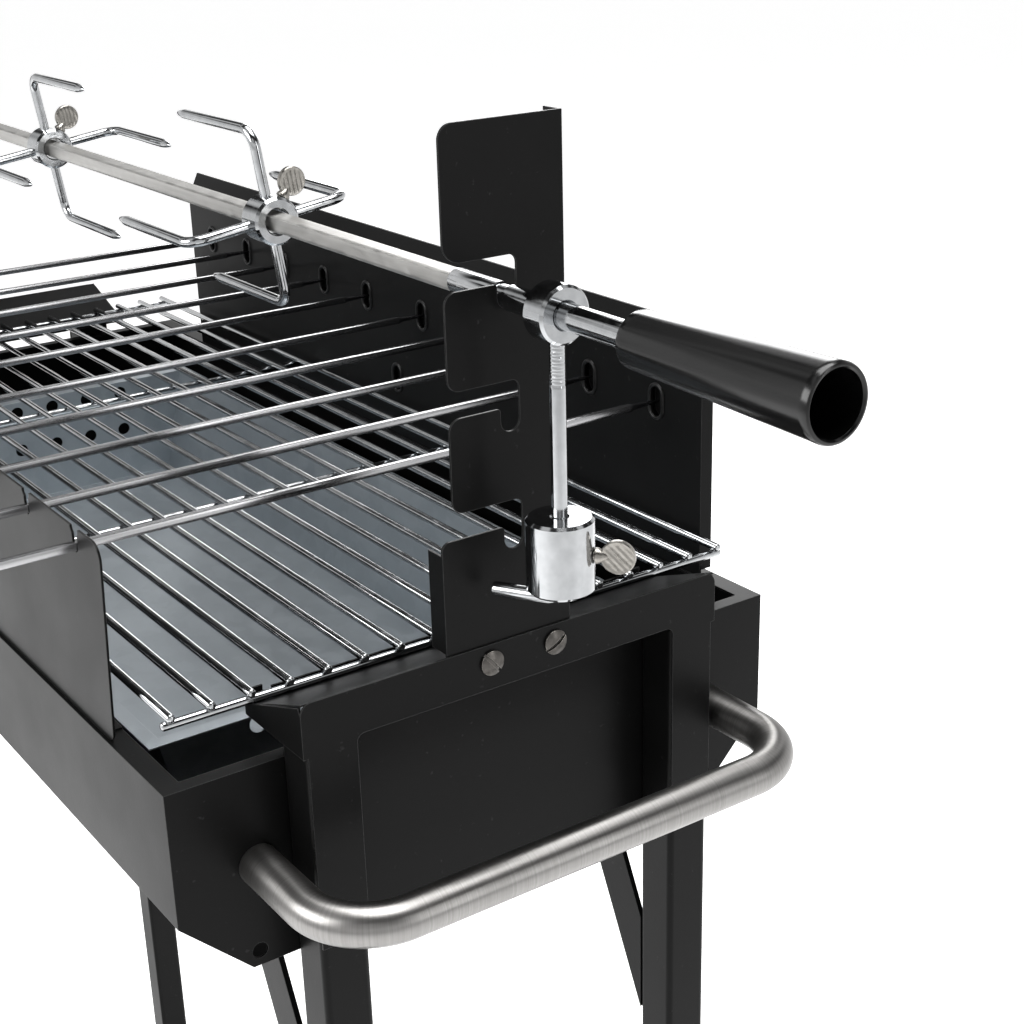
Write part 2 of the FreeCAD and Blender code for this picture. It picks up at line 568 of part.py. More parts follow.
HANDLE_RUN = "(handle_reach - handle_bend)"
HANDLE_Z = "rim_high - handle_low"
QUARTER_BACK = FreeCAD.Rotation(FreeCAD.Vector(0, 0, 1), -90)
NO_TURN = FreeCAD.Rotation()


def handle_bar(name, radius, past):
    """The handle's path as a bar of one radius, its ends reaching past the straight stubs."""
    front_y, back_y = FRONT + " + handle_inset", BACK + " - handle_inset"
    stub = HANDLE_RUN + " + %s" % past
    return join(name, [
        rod(name + "_front", radius, stub, NEAR + " - %s" % past, front_y, HANDLE_Z, "x"),
        rod(name + "_back", radius, stub, NEAR + " - %s" % past, back_y, HANDLE_Z, "x"),
        elbow(name + "_bend_front", "handle_bend", radius, "%s + %s" % (NEAR, HANDLE_RUN),
              front_y + " + handle_bend", HANDLE_Z, QUARTER_BACK),
        elbow(name + "_bend_back", "handle_bend", radius, "%s + %s" % (NEAR, HANDLE_RUN),
              back_y + " - handle_bend", HANDLE_Z, NO_TURN),
        rod(name + "_bar", radius, "box_wide - 2 * handle_inset - 2 * handle_bend",
            NEAR + " + handle_reach", front_y + " + handle_bend", HANDLE_Z, "y")])


push_handle = cut("push_handle", handle_bar("handle_outside", "handle_radius", "0"),
                  [handle_bar("handle_bore", "handle_radius - handle_wall", "1")])
handle_screws = group("handle_screws", [
    rod("handle_screw_%d" % number, "handle_radius * 0.6", "handle_wall * 3",
        NEAR + " - box_sheet - handle_wall * 3", y, HANDLE_Z, "x")
    for number, y in enumerate((FRONT + " + handle_inset", BACK + " - handle_inset"))])

# --- skewers and the two panels ----------------------------------------------------------------

SKEWERS = 10
SKEWER_Z = "rim_high + skewer_high"
TURNING = "(skewer_size * 0.7072 + skewer_fit)"
BACK_FACE = BACK + " - rim_fold + 1"


def skewer_x(number):
    """Where a skewer lies: number 1 at the far end, number 10 next to the grip."""
    side = 1 if number > SKEWERS / 2 else -1
    step = number - SKEWERS / 2 - 1 if side > 0 else SKEWERS / 2 - number
    return "%s + %d * (skewer_gap / 2 + %d * skewer_pitch)" % (PANEL_MIDDLE, side, step)


def skewer(number):
    """A square bar with a point at the back and a turning ring at the front."""
    x = skewer_x(number)
    name = "skewer_%02d" % number
    start = FRONT + " - skewer_out + ring_radius"
    bar_long = "skewer_out - ring_radius + box_wide - rim_fold + 1 - skewer_point"
    bar = block(name + "_bar", "skewer_size", bar_long, "skewer_size", x + " - skewer_size / 2", start,
                SKEWER_Z + " - skewer_size / 2")
    point = cone(name + "_point", "skewer_size * 0.48", "skewer_size * 0.15", "skewer_point + cup_deep * 0.6",
                 x, BACK_FACE + " - skewer_point", SKEWER_Z, "y")
    ring = bind(doc.addObject("Part::Torus", name + "_ring"), Radius1="ring_radius", Radius2="ring_wire")
    place(ring, x, FRONT + " - skewer_out", SKEWER_Z)
    return join(name, [bar, point, ring])


skewers = [skewer(number) for number in range(1, SKEWERS + 1)]

HALF_FRONT = "(back_near + panel_span / 2 - front_near)"
front_plate = slab("front_plate", "XZ", [
    ("-" + HALF_FRONT, "front_high", "arch_round + 2"), (HALF_FRONT, "front_high", "arch_round + 2"),
    (HALF_FRONT + " - front_taper", "0", "arch_round"), ("front_taper - " + HALF_FRONT, "0", "arch_round")],
    "panel_sheet", PANEL_MIDDLE, FRONT + " + front_seat", "rim_high")
front_foot = block("front_foot", "2 * %s - 4 * front_taper" % HALF_FRONT, "panel_fold",
                   "panel_sheet", "%s - %s + 2 * front_taper" % (PANEL_MIDDLE, HALF_FRONT),
                   FRONT + " + front_seat", "rim_high")
front_slots = []
for number in range(1, SKEWERS + 1):
    x = skewer_x(number)
    front_slots += [
        block("slot_%02d" % number, "2 * " + TURNING, "3 * panel_sheet", "front_high - skewer_high + 1",
              x + " - " + TURNING, FRONT + " + front_seat - panel_sheet", SKEWER_Z),
        rod("slot_floor_%02d" % number, TURNING, "3 * panel_sheet", x,
            FRONT + " + front_seat - panel_sheet", SKEWER_Z, "y"),
        rod("slot_mouth_%02d" % number, TURNING + " * 1.5", "3 * panel_sheet", x,
            FRONT + " + front_seat - panel_sheet", "rim_high + front_high", "y")]
skewer_panel = cut("skewer_panel", join("skewer_panel_folded", [front_plate, front_foot]), front_slots)


def oval(name, wide, tall, deep, x, y, z):
    """An upright slot-shaped plug, from a point along +Y."""
    straight = "(%s - %s)" % (tall, wide)
    return join(name, [
        block(name + "_mid", wide, deep, straight, "%s - %s / 2" % (x, wide), y,
              "%s - %s / 2" % (z, straight)),
        rod(name + "_top", wide + " / 2", deep, x, y, "%s + %s / 2" % (z, straight), "y"),
        rod(name + "_low", wide + " / 2", deep, x, y, "%s - %s / 2" % (z, straight), "y")])


back_plate = block("back_plate", "panel_span", "panel_sheet", "back_high",
                   PANEL_MIDDLE + " - panel_span / 2", BACK_FACE, "rim_high")
back_slope = slab("back_slope", "YZ", [
    ("0", "back_high - panel_sheet / 2"), ("panel_sheet", "back_high - panel_sheet / 2"),
    ("panel_sheet + back_lean", "back_high + back_rise"), ("back_lean", "back_high + back_rise"),
    ("0", "back_high")],
    "panel_span", PANEL_MIDDLE + " - panel_span / 2", BACK_FACE, "rim_high")
back_folds = [block("back_fold_%d" % number, "panel_sheet", "back_fold", "back_high - back_lift",
                    x, BACK_FACE, "rim_high + back_lift")
              for number, x in enumerate((PANEL_MIDDLE + " - panel_span / 2",
                                          PANEL_MIDDLE + " + panel_span / 2 - panel_sheet"))]
back_foot = block("back_foot", "panel_span - 8 * panel_fold", "panel_fold", "panel_sheet",
                  PANEL_MIDDLE + " - panel_span / 2 + 4 * panel_fold", BACK_FACE, "rim_high")
cup_places = [(skewer_x(number), SKEWER_Z) for number in range(1, SKEWERS + 1)]
cup_places.append((PANEL_MIDDLE, "rim_high + cup_low"))
cup_backs = [oval("cup_back_%02d" % i, "(cup_wide + 2 * panel_sheet)", "(cup_tall + 2 * panel_sheet)",
                  "cup_deep + panel_sheet", x, BACK_FACE, z) for i, (x, z) in enumerate(cup_places)]
cup_pockets = [oval("cup_pocket_%02d" % i, "cup_wide", "cup_tall", "cup_deep + 1", x, BACK_FACE + " - 1", z)
               for i, (x, z) in enumerate(cup_places)]
wind_panel = cut("wind_panel", join("wind_panel_folded", [back_plate, back_slope, back_foot] + back_folds
                                    + cup_backs), cup_pockets)

# --- cooking grid ------------------------------------------------------------------------------

LIP_AT_GRID = "(lip_low + arch_sheet + (lip_reach - grid_inset) * %s / %s)" % (LIP_RISE, LIP_RUN)
GRID_Z = "(rim_high + %s + rod_radius * 1.1 + 0.1)" % LIP_AT_GRID
RODS = 17
ROD_PITCH = "(box_wide - 2 * rod_side) / %d" % (RODS - 1)
CROSS_WIRES = 4
long_wires = [rod("long_wire_%02d" % i, "rod_radius", "box_long - 2 * (grid_inset - grid_over)",
                  FAR + " + grid_inset - grid_over",
                  "%s + rod_side + %d * %s" % (FRONT, i, ROD_PITCH),
                  GRID_Z + " + 1.9 * rod_radius", "x") for i in range(RODS)]
cross_wires = [rod("cross_wire_%d" % i, "rod_radius", "box_wide - 2 * grid_side",
                   "%s + grid_inset + (box_long - 2 * grid_inset) * %d / %d" % (FAR, i, CROSS_WIRES - 1),
                   FRONT + " + grid_side", GRID_Z, "y") for i in range(CROSS_WIRES)]
cooking_grid = join("cooking_grid", long_wires + cross_wires)

# --- spit plates -------------------------------------------------------------------------------

PLATE_X = NEAR + " + leg_size - plate_sheet"
HEIGHTS = 3
POCKET = "(neck_radius + neck_fit)"
plate_corners = [("plate_back", "plate_tuck - spit_high"), ("plate_back", "plate_head"),
                 ("-plate_front", "plate_head", "head_round")]
for height in range(HEIGHTS):
    drop = "%d * slot_pitch" % height
    front = "-plate_front"
    plate_corners += [(front, "mouth_up - " + drop, "1.5 * arch_round" if height == 0 else "arch_round"),
                      (POCKET, "mouth_up - " + drop, "door_round"), (POCKET, "-" + drop),
                      ("-" + POCKET, "-" + drop), ("-" + POCKET, "tooth_up - " + drop, "arch_sheet * 1.5")]
    last = height == HEIGHTS - 1
    plate_corners.append(("-plate_base" if last else front, "tooth_up - " + drop,
                          "arch_round" if not last else "door_round"))
plate_corners.append(("-plate_base", "plate_tuck - spit_high"))
plate_flat = slab("plate_flat", "YZ", plate_corners, "plate_sheet", PLATE_X, SPIT_Y, SPIT_Z)
pockets = [rod("pocket_%d" % height, POCKET, "3 * plate_sheet", PLATE_X + " - plate_sheet", SPIT_Y,
               "%s - %d * slot_pitch" % (SPIT_Z, height), "x") for height in range(HEIGHTS)]
FOLD_FOOT = "(rim_high + arch_high + 1)"
plate_folds = [
    block("plate_fold_back", "plate_fold + plate_sheet / 2", "plate_sheet",
          "%s + plate_head - %s" % (SPIT_Z, FOLD_FOOT), PLATE_X + " - plate_fold",
          SPIT_Y + " + plate_back - plate_sheet", FOLD_FOOT),
    block("plate_fold_front", "plate_fold + plate_sheet / 2", "plate_sheet",
          "%s - 2 * slot_pitch - %s" % (SPIT_Z, FOLD_FOOT), PLATE_X + " - plate_fold",
          SPIT_Y + " - plate_base", FOLD_FOOT)]
plate_folded = join("plate_folded", [plate_flat] + plate_folds)
spit_plate_near = cut("spit_plate_near", plate_folded, pockets + bolt_holes)
spit_plate_far = mirrored("spit_plate_far", spit_plate_near)


def plate_screw(name, side):
    """A round-headed screw through the end frame and the spit plate, with its nut behind."""
    y = bolt_y(side)
    head_x = NEAR + " + leg_size + arch_sheet"
    return join(name, [
        cone(name + "_head", "bolt_head", "bolt_head * 0.7", "bolt_radius", head_x, y, BOLT_Z, "x"),
        rod(name + "_shank", "bolt_radius", "bolt_radius * 4", head_x + " - bolt_radius * 3.9", y,
            BOLT_Z, "x"),
        rod(name + "_nut", "nut_radius", "nut_thick", PLATE_X + " - nut_thick", y, BOLT_Z, "x")])


plate_screws_near = group("plate_screws_near", [plate_screw("plate_screw_1", -1),
                                                plate_screw("plate_screw_2", 1)])
plate_screws_far = mirrored("plate_screws_far", plate_screws_near)

# --- spit --------------------------------------------------------------------------------------

FAR_PLATE = "(box_long + leg_size - plate_sheet / 2)"
NEAR_PLATE = "(leg_size - plate_sheet / 2)"
MOTOR_FACE = "(box_long + leg_size + arch_sheet + hook_gap)"
TAIL = "(%s + socket_long * 0.7)" % MOTOR_FACE
SHAFT_END = "(grip_out + grip_long - grip_hollow - 5)"


def square_bar(name, size, start, end):
    """A square bar along X on the spit's middle line, from one place to another."""
    half = "(%s) / 2" % size
    bar = slab(name, "YZ", [("-" + half, "-" + half), (half, "-" + half), (half, half), ("-" + half, half)],
               "(%s) - (%s)" % (end, start))
    return place(bar, "%s + %s" % (NEAR, start), SPIT_Y, SPIT_Z, (1, 0, 0), "turned_by")


def on_spit(name, radius, start, end):
    """A round bar along X on the spit's middle line."""
    return rod(name, radius, "(%s) - (%s)" % (end, start), "%s + %s" % (NEAR, start), SPIT_Y, SPIT_Z, "x")


FAR_NECK = ("-%s - neck_long / 2" % FAR_PLATE, "-%s + neck_long / 2" % FAR_PLATE)
NEAR_NECK = (NEAR_PLATE + " - neck_long / 2", NEAR_PLATE + " + neck_long / 2")
spit_bar = join("spit_bar", [
    square_bar("spit_tail", "bar_size", "-" + TAIL, FAR_NECK[0]),
    on_spit("spit_far_neck", "neck_radius", FAR_NECK[0], FAR_NECK[1]),
    square_bar("spit_square", "bar_size", FAR_NECK[1], "-bar_near"),
    on_spit("spit_round", "shaft_radius", "-bar_near", NEAR_NECK[0]),
    on_spit("spit_near_neck", "neck_radius", NEAR_NECK[0], NEAR_NECK[1]),
    on_spit("spit_shaft", "shaft_radius", NEAR_NECK[1], SHAFT_END)])

STEM_X = "%s + collar_out + collar_long / 2" % NEAR
stem_hole = rod("stem_hole", "stem_radius", "collar_radius", STEM_X, SPIT_Y,
                SPIT_Z + " - collar_radius - 1")
collar_ring = on_spit("collar_ring", "collar_radius", "collar_out", "collar_out + collar_long")
collar_bore = on_spit("collar_bore", "shaft_radius", "collar_out - 1", "collar_out + collar_long + 1")
collar = cut("collar", collar_ring, [collar_bore, stem_hole])

# The rod hangs from the collar and is bent at its foot, which points along +X before it is turned.
FOOT_TURN = FreeCAD.Rotation(FreeCAD.Vector(-1, 0, 0), FreeCAD.Vector(0, 0, -1),
                             FreeCAD.Vector(0, -1, 0), "XYZ")
counter_stem = join("counterweight_rod", [
    rod("stem_straight", "stem_radius", "stem_down - stem_bend - shaft_radius - 0.1", "0", "0",
        "stem_bend - stem_down"),
    elbow("stem_elbow", "stem_bend", "stem_radius", "stem_bend", "0", "stem_bend - stem_down", FOOT_TURN),
    rod("stem_foot_bar", "stem_radius", "stem_foot - stem_bend", "stem_bend", "0", "-stem_down", "x")])
place(counter_stem, STEM_X, SPIT_Y, SPIT_Z, (0, 0, 1), "stem_turn")

WEIGHT_Z = SPIT_Z + " + stem_bend + end_play - stem_down"
WEIGHT_MIDDLE = WEIGHT_Z + " + weight_tall / 2"


def thumbscrew(name, start, surface, along, across):
    """A screw along one axis from a start to past a surface, with a flat round paddle on its end."""
    far = "(%s) + paddle_gap" % surface
    middle = far + " + paddle_radius"
    paddle_x, paddle_y = (middle, "-paddle_thick / 2") if across == "y" else ("-paddle_thick / 2", middle)
    shank_x, shank_y = (start, "0") if along == "x" else ("0", start)
    neck_x, neck_y = (far, "0") if along == "x" else ("0", far)
    return join(name, [
        rod(name + "_shank", "screw_radius", "%s - (%s) + 1" % (far, start), shank_x, shank_y, "0",
            along),
        cone(name + "_neck", "screw_radius", "screw_radius * 1.4", "paddle_radius / 2", neck_x, neck_y,
             "0", along),
        rod(name + "_paddle", "paddle_radius", "paddle_thick", paddle_x, paddle_y, "0", across)])


weight_hole = rod("weight_hole", "screw_radius + screw_fit", "weight_radius + 2", along="x")
weight_hole_turned = group("weight_hole_turned", [weight_hole])
place(weight_hole_turned, STEM_X, SPIT_Y, WEIGHT_MIDDLE, (0, 0, 1), "screw_turn")
weight_solid = rod("weight_solid", "weight_radius", "weight_tall", STEM_X, SPIT_Y, WEIGHT_Z)
weight_bore = rod("weight_bore", "stem_radius + weight_fit", "weight_tall + 2", STEM_X, SPIT_Y,
                  WEIGHT_Z + " - 1")
counterweight = cut("counterweight", weight_solid, [weight_bore, weight_hole_turned])
weight_screw = thumbscrew("weight_screw", "stem_radius + screw_fit", "weight_radius", "x", "y")
place(weight_screw, STEM_X, SPIT_Y, WEIGHT_MIDDLE, (0, 0, 1), "screw_turn")

GRIP_EDGE = "(grip_wall / 2)"
grip_body = join("grip_solid", [
    cone("grip_edge", "grip_neck - " + GRIP_EDGE, "grip_neck", GRIP_EDGE, NEAR + " + grip_out", SPIT_Y,
         SPIT_Z, "x"),
    cone("grip_barrel", "grip_neck", "grip_radius", "grip_long - " + GRIP_EDGE,
         "%s + grip_out + %s" % (NEAR, GRIP_EDGE), SPIT_Y, SPIT_Z, "x")])
grip = cut("grip", grip_body, [
    on_spit("grip_bore", "shaft_radius", "grip_out - 1", "grip_out + grip_long - grip_hollow + 1"),
    cone("grip_hollow_end", "grip_neck - grip_wall", "grip_radius - grip_wall", "grip_hollow + 1",
         NEAR + " + grip_out + grip_long - grip_hollow", SPIT_Y, SPIT_Z, "x")])

# --- meat forks --------------------------------------------------------------------------------


def fork(name, x, towards):
    """A hub on the square bar with four bent prongs, pointing along +X or -X, and its thumbscrew."""
    sign = "" if towards > 0 else "-"
    bend_turn = FreeCAD.Rotation(FreeCAD.Vector(0, 0, 1), 90) if towards > 0 else NO_TURN
    about_spit = FreeCAD.Vector(1, 0, 0)
    prongs = []
    for number in range(4):
        tag = "%s_prong_%d" % (name, number)
        straight = "prong_long - prong_point - prong_bend"
        root = rod(tag + "_root", "prong_radius", "prong_out - prong_bend - fork_hub * 0.7", "0",
                   "fork_hub * 0.7", "0", "y")
        bend = elbow(tag + "_bend", "prong_bend", "prong_radius", sign + "prong_bend",
                     "prong_out - prong_bend", "0", bend_turn)
        shaft_x = "prong_bend" if towards > 0 else "prong_point - prong_long"
        shaft = rod(tag + "_shaft", "prong_radius", straight, shaft_x, "prong_out", "0", "x")
        tip = cone(tag + "_tip", "prong_radius", "prong_radius * 0.15", "prong_point",
                   sign + "(prong_long - prong_point)", "prong_out", "0", "x", back=towards < 0)
        prong = join(tag, [root, bend, shaft, tip])
        prong.Placement = FreeCAD.Placement(FreeCAD.Vector(), FreeCAD.Rotation(about_spit, 90 * number))
        prongs.append(prong)
    hub = rod(name + "_hub", "fork_hub", "hub_long", "-hub_long / 2", "0", "0", "x")
    side = "(bar_size + 2 * bore_fit)"
    bore = block(name + "_bore", "hub_long + 2", side, side, "-hub_long / 2 - 1", "-%s / 2" % side,
                 "-%s / 2" % side)
    hole = rod(name + "_screw_hole", "screw_radius + screw_fit", "fork_hub + 2", "0", "0", "0", "y")
    hole_turned = group(name + "_hole_turned", [hole])
    hole_turned.Placement = FreeCAD.Placement(FreeCAD.Vector(), FreeCAD.Rotation(about_spit, 45))
    whole = cut(name, join(name + "_solid", [hub] + prongs), [bore, hole_turned])
    place(whole, x, SPIT_Y, SPIT_Z, (1, 0, 0), "turned_by")
    screw = thumbscrew(name + "_screw", "bar_size * 0.72", "fork_hub", "y", "x")
    place(screw, x, SPIT_Y, SPIT_Z, (1, 0, 0), "turned_by + 45")
    return whole, screw


fork_near, fork_near_screw = fork("fork_near", NEAR + " - fork_near", -1)
fork_far, fork_far_screw = fork("fork_far", NEAR + " - fork_far", 1)

# --- spit motor --------------------------------------------------------------------------------

HOUSING_X = "%s - %s - motor_long" % (NEAR, MOTOR_FACE)
HOUSING_Y = "%s - motor_wide / 2" % SPIT_Y
HOUSING_Z = "%s + motor_drop - motor_tall" % SPIT_Z
LID_Z = "%s + motor_wall * 2" % HOUSING_Z
LID_WIDE = "(motor_wide - 8 * motor_wall)"
housing_solid = slab("housing_solid", "YZ", [(y, z, "2 * motor_wall") for y, z in (
    ("0", "0"), ("motor_wide", "0"), ("motor_wide", "motor_tall"), ("0", "motor_tall"))],
    "motor_long", HOUSING_X, HOUSING_Y, HOUSING_Z)
housing_hollow = block("housing_hollow", "motor_long - 2 * motor_wall", "motor_wide - 2 * motor_wall",
                       "motor_tall - 2 * motor_wall", HOUSING_X + " + motor_wall",
                       HOUSING_Y + " + motor_wall", HOUSING_Z + " + motor_wall")
rails = [block("lid_rail_%d" % side, "lid_thick", "motor_wall", "lid_tall + motor_wall",
               HOUSING_X + " - lid_thick + 0.01", "%s + %s" % (SPIT_Y, y), LID_Z)
         for side, y in enumerate(("%s / 2 + lid_travel_gap" % LID_WIDE,
                                   "-%s / 2 - lid_travel_gap - motor_wall" % LID_WIDE))]
socket_hole = rod("socket_hole", "socket_radius + end_play", "3 * motor_wall",
                  "%s - %s - 2 * motor_wall" % (NEAR, MOTOR_FACE), SPIT_Y, SPIT_Z, "x")
battery_door = block("battery_door", "3 * motor_wall", LID_WIDE + " - 4 * motor_wall",
                     "lid_tall - motor_wall", HOUSING_X + " - motor_wall",
                     "%s - %s / 2 + 2 * motor_wall" % (SPIT_Y, LID_WIDE), LID_Z + " + motor_wall / 2")
motor_housing = cut("motor_housing", join("housing_with_rails", [housing_solid] + rails),
                    [housing_hollow, socket_hole, battery_door])
battery_lid = block("battery_lid", "lid_thick - lid_travel_gap", LID_WIDE, "lid_tall",
                    HOUSING_X + " - lid_thick", "%s - %s / 2" % (SPIT_Y, LID_WIDE), LID_Z)
socket_solid = on_spit("socket_solid", "socket_radius", "-%s - socket_long" % MOTOR_FACE,
                       "-%s + hook_gap * 0.4" % MOTOR_FACE)
socket_bore = square_bar("socket_bore", "bar_size", "-%s - 0.01" % TAIL, "-%s + hook_gap" % MOTOR_FACE)
drive_socket = cut("drive_socket", socket_solid, [socket_bore])
gear_motor = block("gear_motor", "motor_long - socket_long - motor_wall - end_play", "motor_wide * 0.6",
                   "motor_tall * 0.4", HOUSING_X + " + motor_wall", "%s - motor_wide * 0.3" % SPIT_Y,
                   "%s - motor_tall * 0.18" % SPIT_Z)
CELL = "(motor_wide * 0.17)"
cells = group("battery_cells", [
    rod("cell_%d" % side, CELL, "motor_tall * 0.45", "%s + motor_wall + %s" % (HOUSING_X, CELL),
        "%s + %d * %s * 1.1" % (SPIT_Y, side, CELL), HOUSING_Z + " + motor_wall") for side in (-1, 1)])
motor_studs = group("motor_studs", [
    rod("motor_stud_%d" % number, "bolt_radius", "hook_gap + arch_sheet", "%s - %s" % (NEAR, MOTOR_FACE),
        SPIT_Y + " + plate_back * 0.55", "%s + %s" % (SPIT_Z, z), "x")
    for number, z in enumerate(("motor_drop * 0.7", "motor_drop - motor_tall + 4 * motor_wall"))])
motor_switch = block("motor_switch", "key_long", "2 * motor_wall", "key_long / 2",
                     HOUSING_X + " + motor_long / 2 - key_long / 2",
                     HOUSING_Y + " - 2 * motor_wall - lid_travel_gap",
                     HOUSING_Z + " + motor_tall * 0.5")

# --- export ------------------------------------------------------------------------------------

NODES = {
    "firebox": firebox, "charcoal_pan": charcoal_pan, "end_frame_near": end_frame_near,
    "end_frame_far": end_frame_far, "leg_near_front": leg_near_front, "leg_near_back": leg_near_back,
    "leg_far_front": leg_far_front, "leg_far_back": leg_far_back, "foot_caps": foot_caps,
    "brace_near_front": brace_near_front, "brace_near_back": brace_near_back,
    "brace_far_front": brace_far_front, "brace_far_back": brace_far_back,
    "axle": axle, "axle_caps": axle_caps, "wheel_front": wheel_front, "tyre_front": tyre_front,
    "wheel_back": wheel_back, "tyre_back": tyre_back, "push_handle": push_handle,
    "handle_screws": handle_screws, "skewer_panel": skewer_panel, "wind_panel": wind_panel,
    "cooking_grid": cooking_grid, "spit_plate_near": spit_plate_near, "spit_plate_far": spit_plate_far,
    "plate_screws_near": plate_screws_near, "plate_screws_far": plate_screws_far,
    "spit_bar": spit_bar, "collar": collar, "counterweight_rod": counter_stem,
    "counterweight": counterweight, "weight_screw": weight_screw, "grip": grip,
    "fork_near": fork_near, "fork_near_screw": fork_near_screw, "fork_far": fork_far,
    "fork_far_screw": fork_far_screw, "motor_housing": motor_housing, "battery_lid": battery_lid,
    "drive_socket": drive_socket, "gear_motor": gear_motor, "battery_cells": cells,
    "motor_studs": motor_studs, "motor_switch": motor_switch,
}
for number, piece in enumerate(skewers, start=1):
    NODES["skewer_%02d" % number] = piece

doc.recompute()
failed = [piece.Name for piece in doc.Objects if {"Invalid", "Error"} & set(piece.State)]
if failed:
    raise RuntimeError("not computed: " + ", ".join(failed))
for name, piece in NODES.items():
    piece.Label = name
    if piece.Shape.isNull() or not piece.Shape.isValid() or not piece.Shape.Solids:
        raise RuntimeError("bad shape: " + name)

os.makedirs("parts", exist_ok=True)
for name, piece in NODES.items():
    piece.Shape.exportStep("parts/%s.step" % name)
whole = FreeCAD.BoundBox()
for piece in NODES.values():
    whole.add(piece.Shape.BoundBox)
print("nodes %d, box %.1f..%.1f, %.1f..%.1f, %.1f..%.1f" % (
    len(NODES), whole.XMin, whole.XMax, whole.YMin, whole.YMax, whole.ZMin, whole.ZMax))
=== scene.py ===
import json
import math

import bpy
import numpy as np
from mathutils import Matrix, Vector


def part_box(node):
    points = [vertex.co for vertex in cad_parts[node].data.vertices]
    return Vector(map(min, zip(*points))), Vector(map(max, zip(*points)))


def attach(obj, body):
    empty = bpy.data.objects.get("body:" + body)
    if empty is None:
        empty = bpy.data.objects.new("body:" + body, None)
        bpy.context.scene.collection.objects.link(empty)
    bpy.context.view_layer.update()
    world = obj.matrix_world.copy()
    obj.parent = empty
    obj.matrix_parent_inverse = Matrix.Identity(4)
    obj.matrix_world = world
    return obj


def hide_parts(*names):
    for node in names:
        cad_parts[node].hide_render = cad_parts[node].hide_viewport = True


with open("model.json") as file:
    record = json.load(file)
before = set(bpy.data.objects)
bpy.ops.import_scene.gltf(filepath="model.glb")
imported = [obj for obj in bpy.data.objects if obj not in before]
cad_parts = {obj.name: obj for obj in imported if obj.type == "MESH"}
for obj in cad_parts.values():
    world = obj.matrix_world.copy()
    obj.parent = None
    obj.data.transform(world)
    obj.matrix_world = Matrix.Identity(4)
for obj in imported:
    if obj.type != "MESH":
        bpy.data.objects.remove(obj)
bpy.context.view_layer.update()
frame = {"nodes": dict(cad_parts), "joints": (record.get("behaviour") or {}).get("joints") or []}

# --- Camera --------------------------------------------------------------------------------------
# Stands off the near front corner of the firebox rim, a little above the spit, and looks along the
# firebox towards the motor.

fire_low, fire_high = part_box("firebox")
rim_corner = Vector((fire_high.x, fire_low.y, fire_high.z))
stand_off = Vector((0.6335, -0.2442, 0.3841))
heading, dip, tilt = math.radians(55.673), math.radians(21.146), math.radians(-1.63)
forward = Vector((-math.sin(heading) * math.cos(dip), math.cos(heading) * math.cos(dip), -math.sin(dip)))
level = Vector((math.cos(heading), math.sin(heading), 0.0))
rise = level.cross(forward)
right = math.cos(tilt) * level + math.sin(tilt) * rise
up = math.cos(tilt) * rise - math.sin(tilt) * level
camera = bpy.data.objects.new("camera", bpy.data.cameras.new("camera"))
camera.data.lens = 60.9
camera.data.sensor_width = 36.0
camera.data.clip_end = 200.0
camera.matrix_world = Matrix((right, up, -forward)).transposed().to_4x4()
camera.location = rim_corner + stand_off
bpy.context.scene.collection.objects.link(camera)
bpy.context.scene.camera = camera
bpy.context.scene.view_settings.view_transform = "Standard"

# --- Studio --------------------------------------------------------------------------------------
# A pale floor that glows with its own emission, a painted glow a little brighter behind the object, a
# pale horizon under a dim room, a broad soft light in front and above, and a weaker one behind.


def adder(tree):
    """A function that adds one node to a tree, sets its options, and fills or links its inputs."""

    def add(kind, options=None, inputs=None):
        made = tree.nodes.new("ShaderNode" + kind)
        for name, value in (options or {}).items():
            setattr(made, name, value)
        for name, value in (inputs or {}).items():
            if isinstance(value, bpy.types.NodeSocket):
                tree.links.new(value, made.inputs[name])
            else:
                made.inputs[name].default_value = value
        return made

    return add


def bare_material(name):
    """A material with one Principled shader on its output: (material, its node adder, the shader)."""
    material = bpy.data.materials.new(name)
    material.use_nodes = True
    material.node_tree.nodes.clear()
    add = adder(material.node_tree)
    shader = add("BsdfPrincipled")
    add("OutputMaterial", None, {"Surface": shader.outputs[0]})
    return material, add, shader


def link_inputs(shader, values):
    """Link node outputs to a shader's inputs by name."""
    for name, value in values.items():
        shader.id_data.links.new(value, shader.inputs[name])


floor_half = 30.0
floor_corners = [(-floor_half, -floor_half, 0), (floor_half, -floor_half, 0),
                 (floor_half, floor_half, 0), (-floor_half, floor_half, 0)]
floor_mesh = bpy.data.meshes.new("floor")
floor_mesh.from_pydata(floor_corners, [], [(0, 1, 2, 3)])
floor = bpy.data.objects.new("floor", floor_mesh)
bpy.context.scene.collection.objects.link(floor)
floor_white, add, shader = bare_material("floor_white")
shader.inputs["Base Color"].default_value = (0.93, 0.93, 0.93, 1.0)
shader.inputs["Roughness"].default_value = 0.9
shader.inputs["Specular IOR Level"].default_value = 0.1
# The floor emits light of its own: a painted glow, stronger towards the back of the object.
shader.inputs["Emission Color"].default_value = (1.0, 1.0, 1.0, 1.0)
ground = add("TexCoord").outputs["Object"]
behind = add("VectorMath", {"operation": "DOT_PRODUCT"},
             {0: ground, 1: (-0.83, 0.56, 0.0)}).outputs["Value"]
painted_floor_glow = add("MapRange", {"interpolation_type": "SMOOTHSTEP"},
           {"Value": behind, "From Min": -4.0, "From Max": 0.6, "To Min": 0.34, "To Max": 0.66})
link_inputs(shader, {"Emission Strength": painted_floor_glow.outputs[0]})
floor_mesh.materials.append(floor_white)

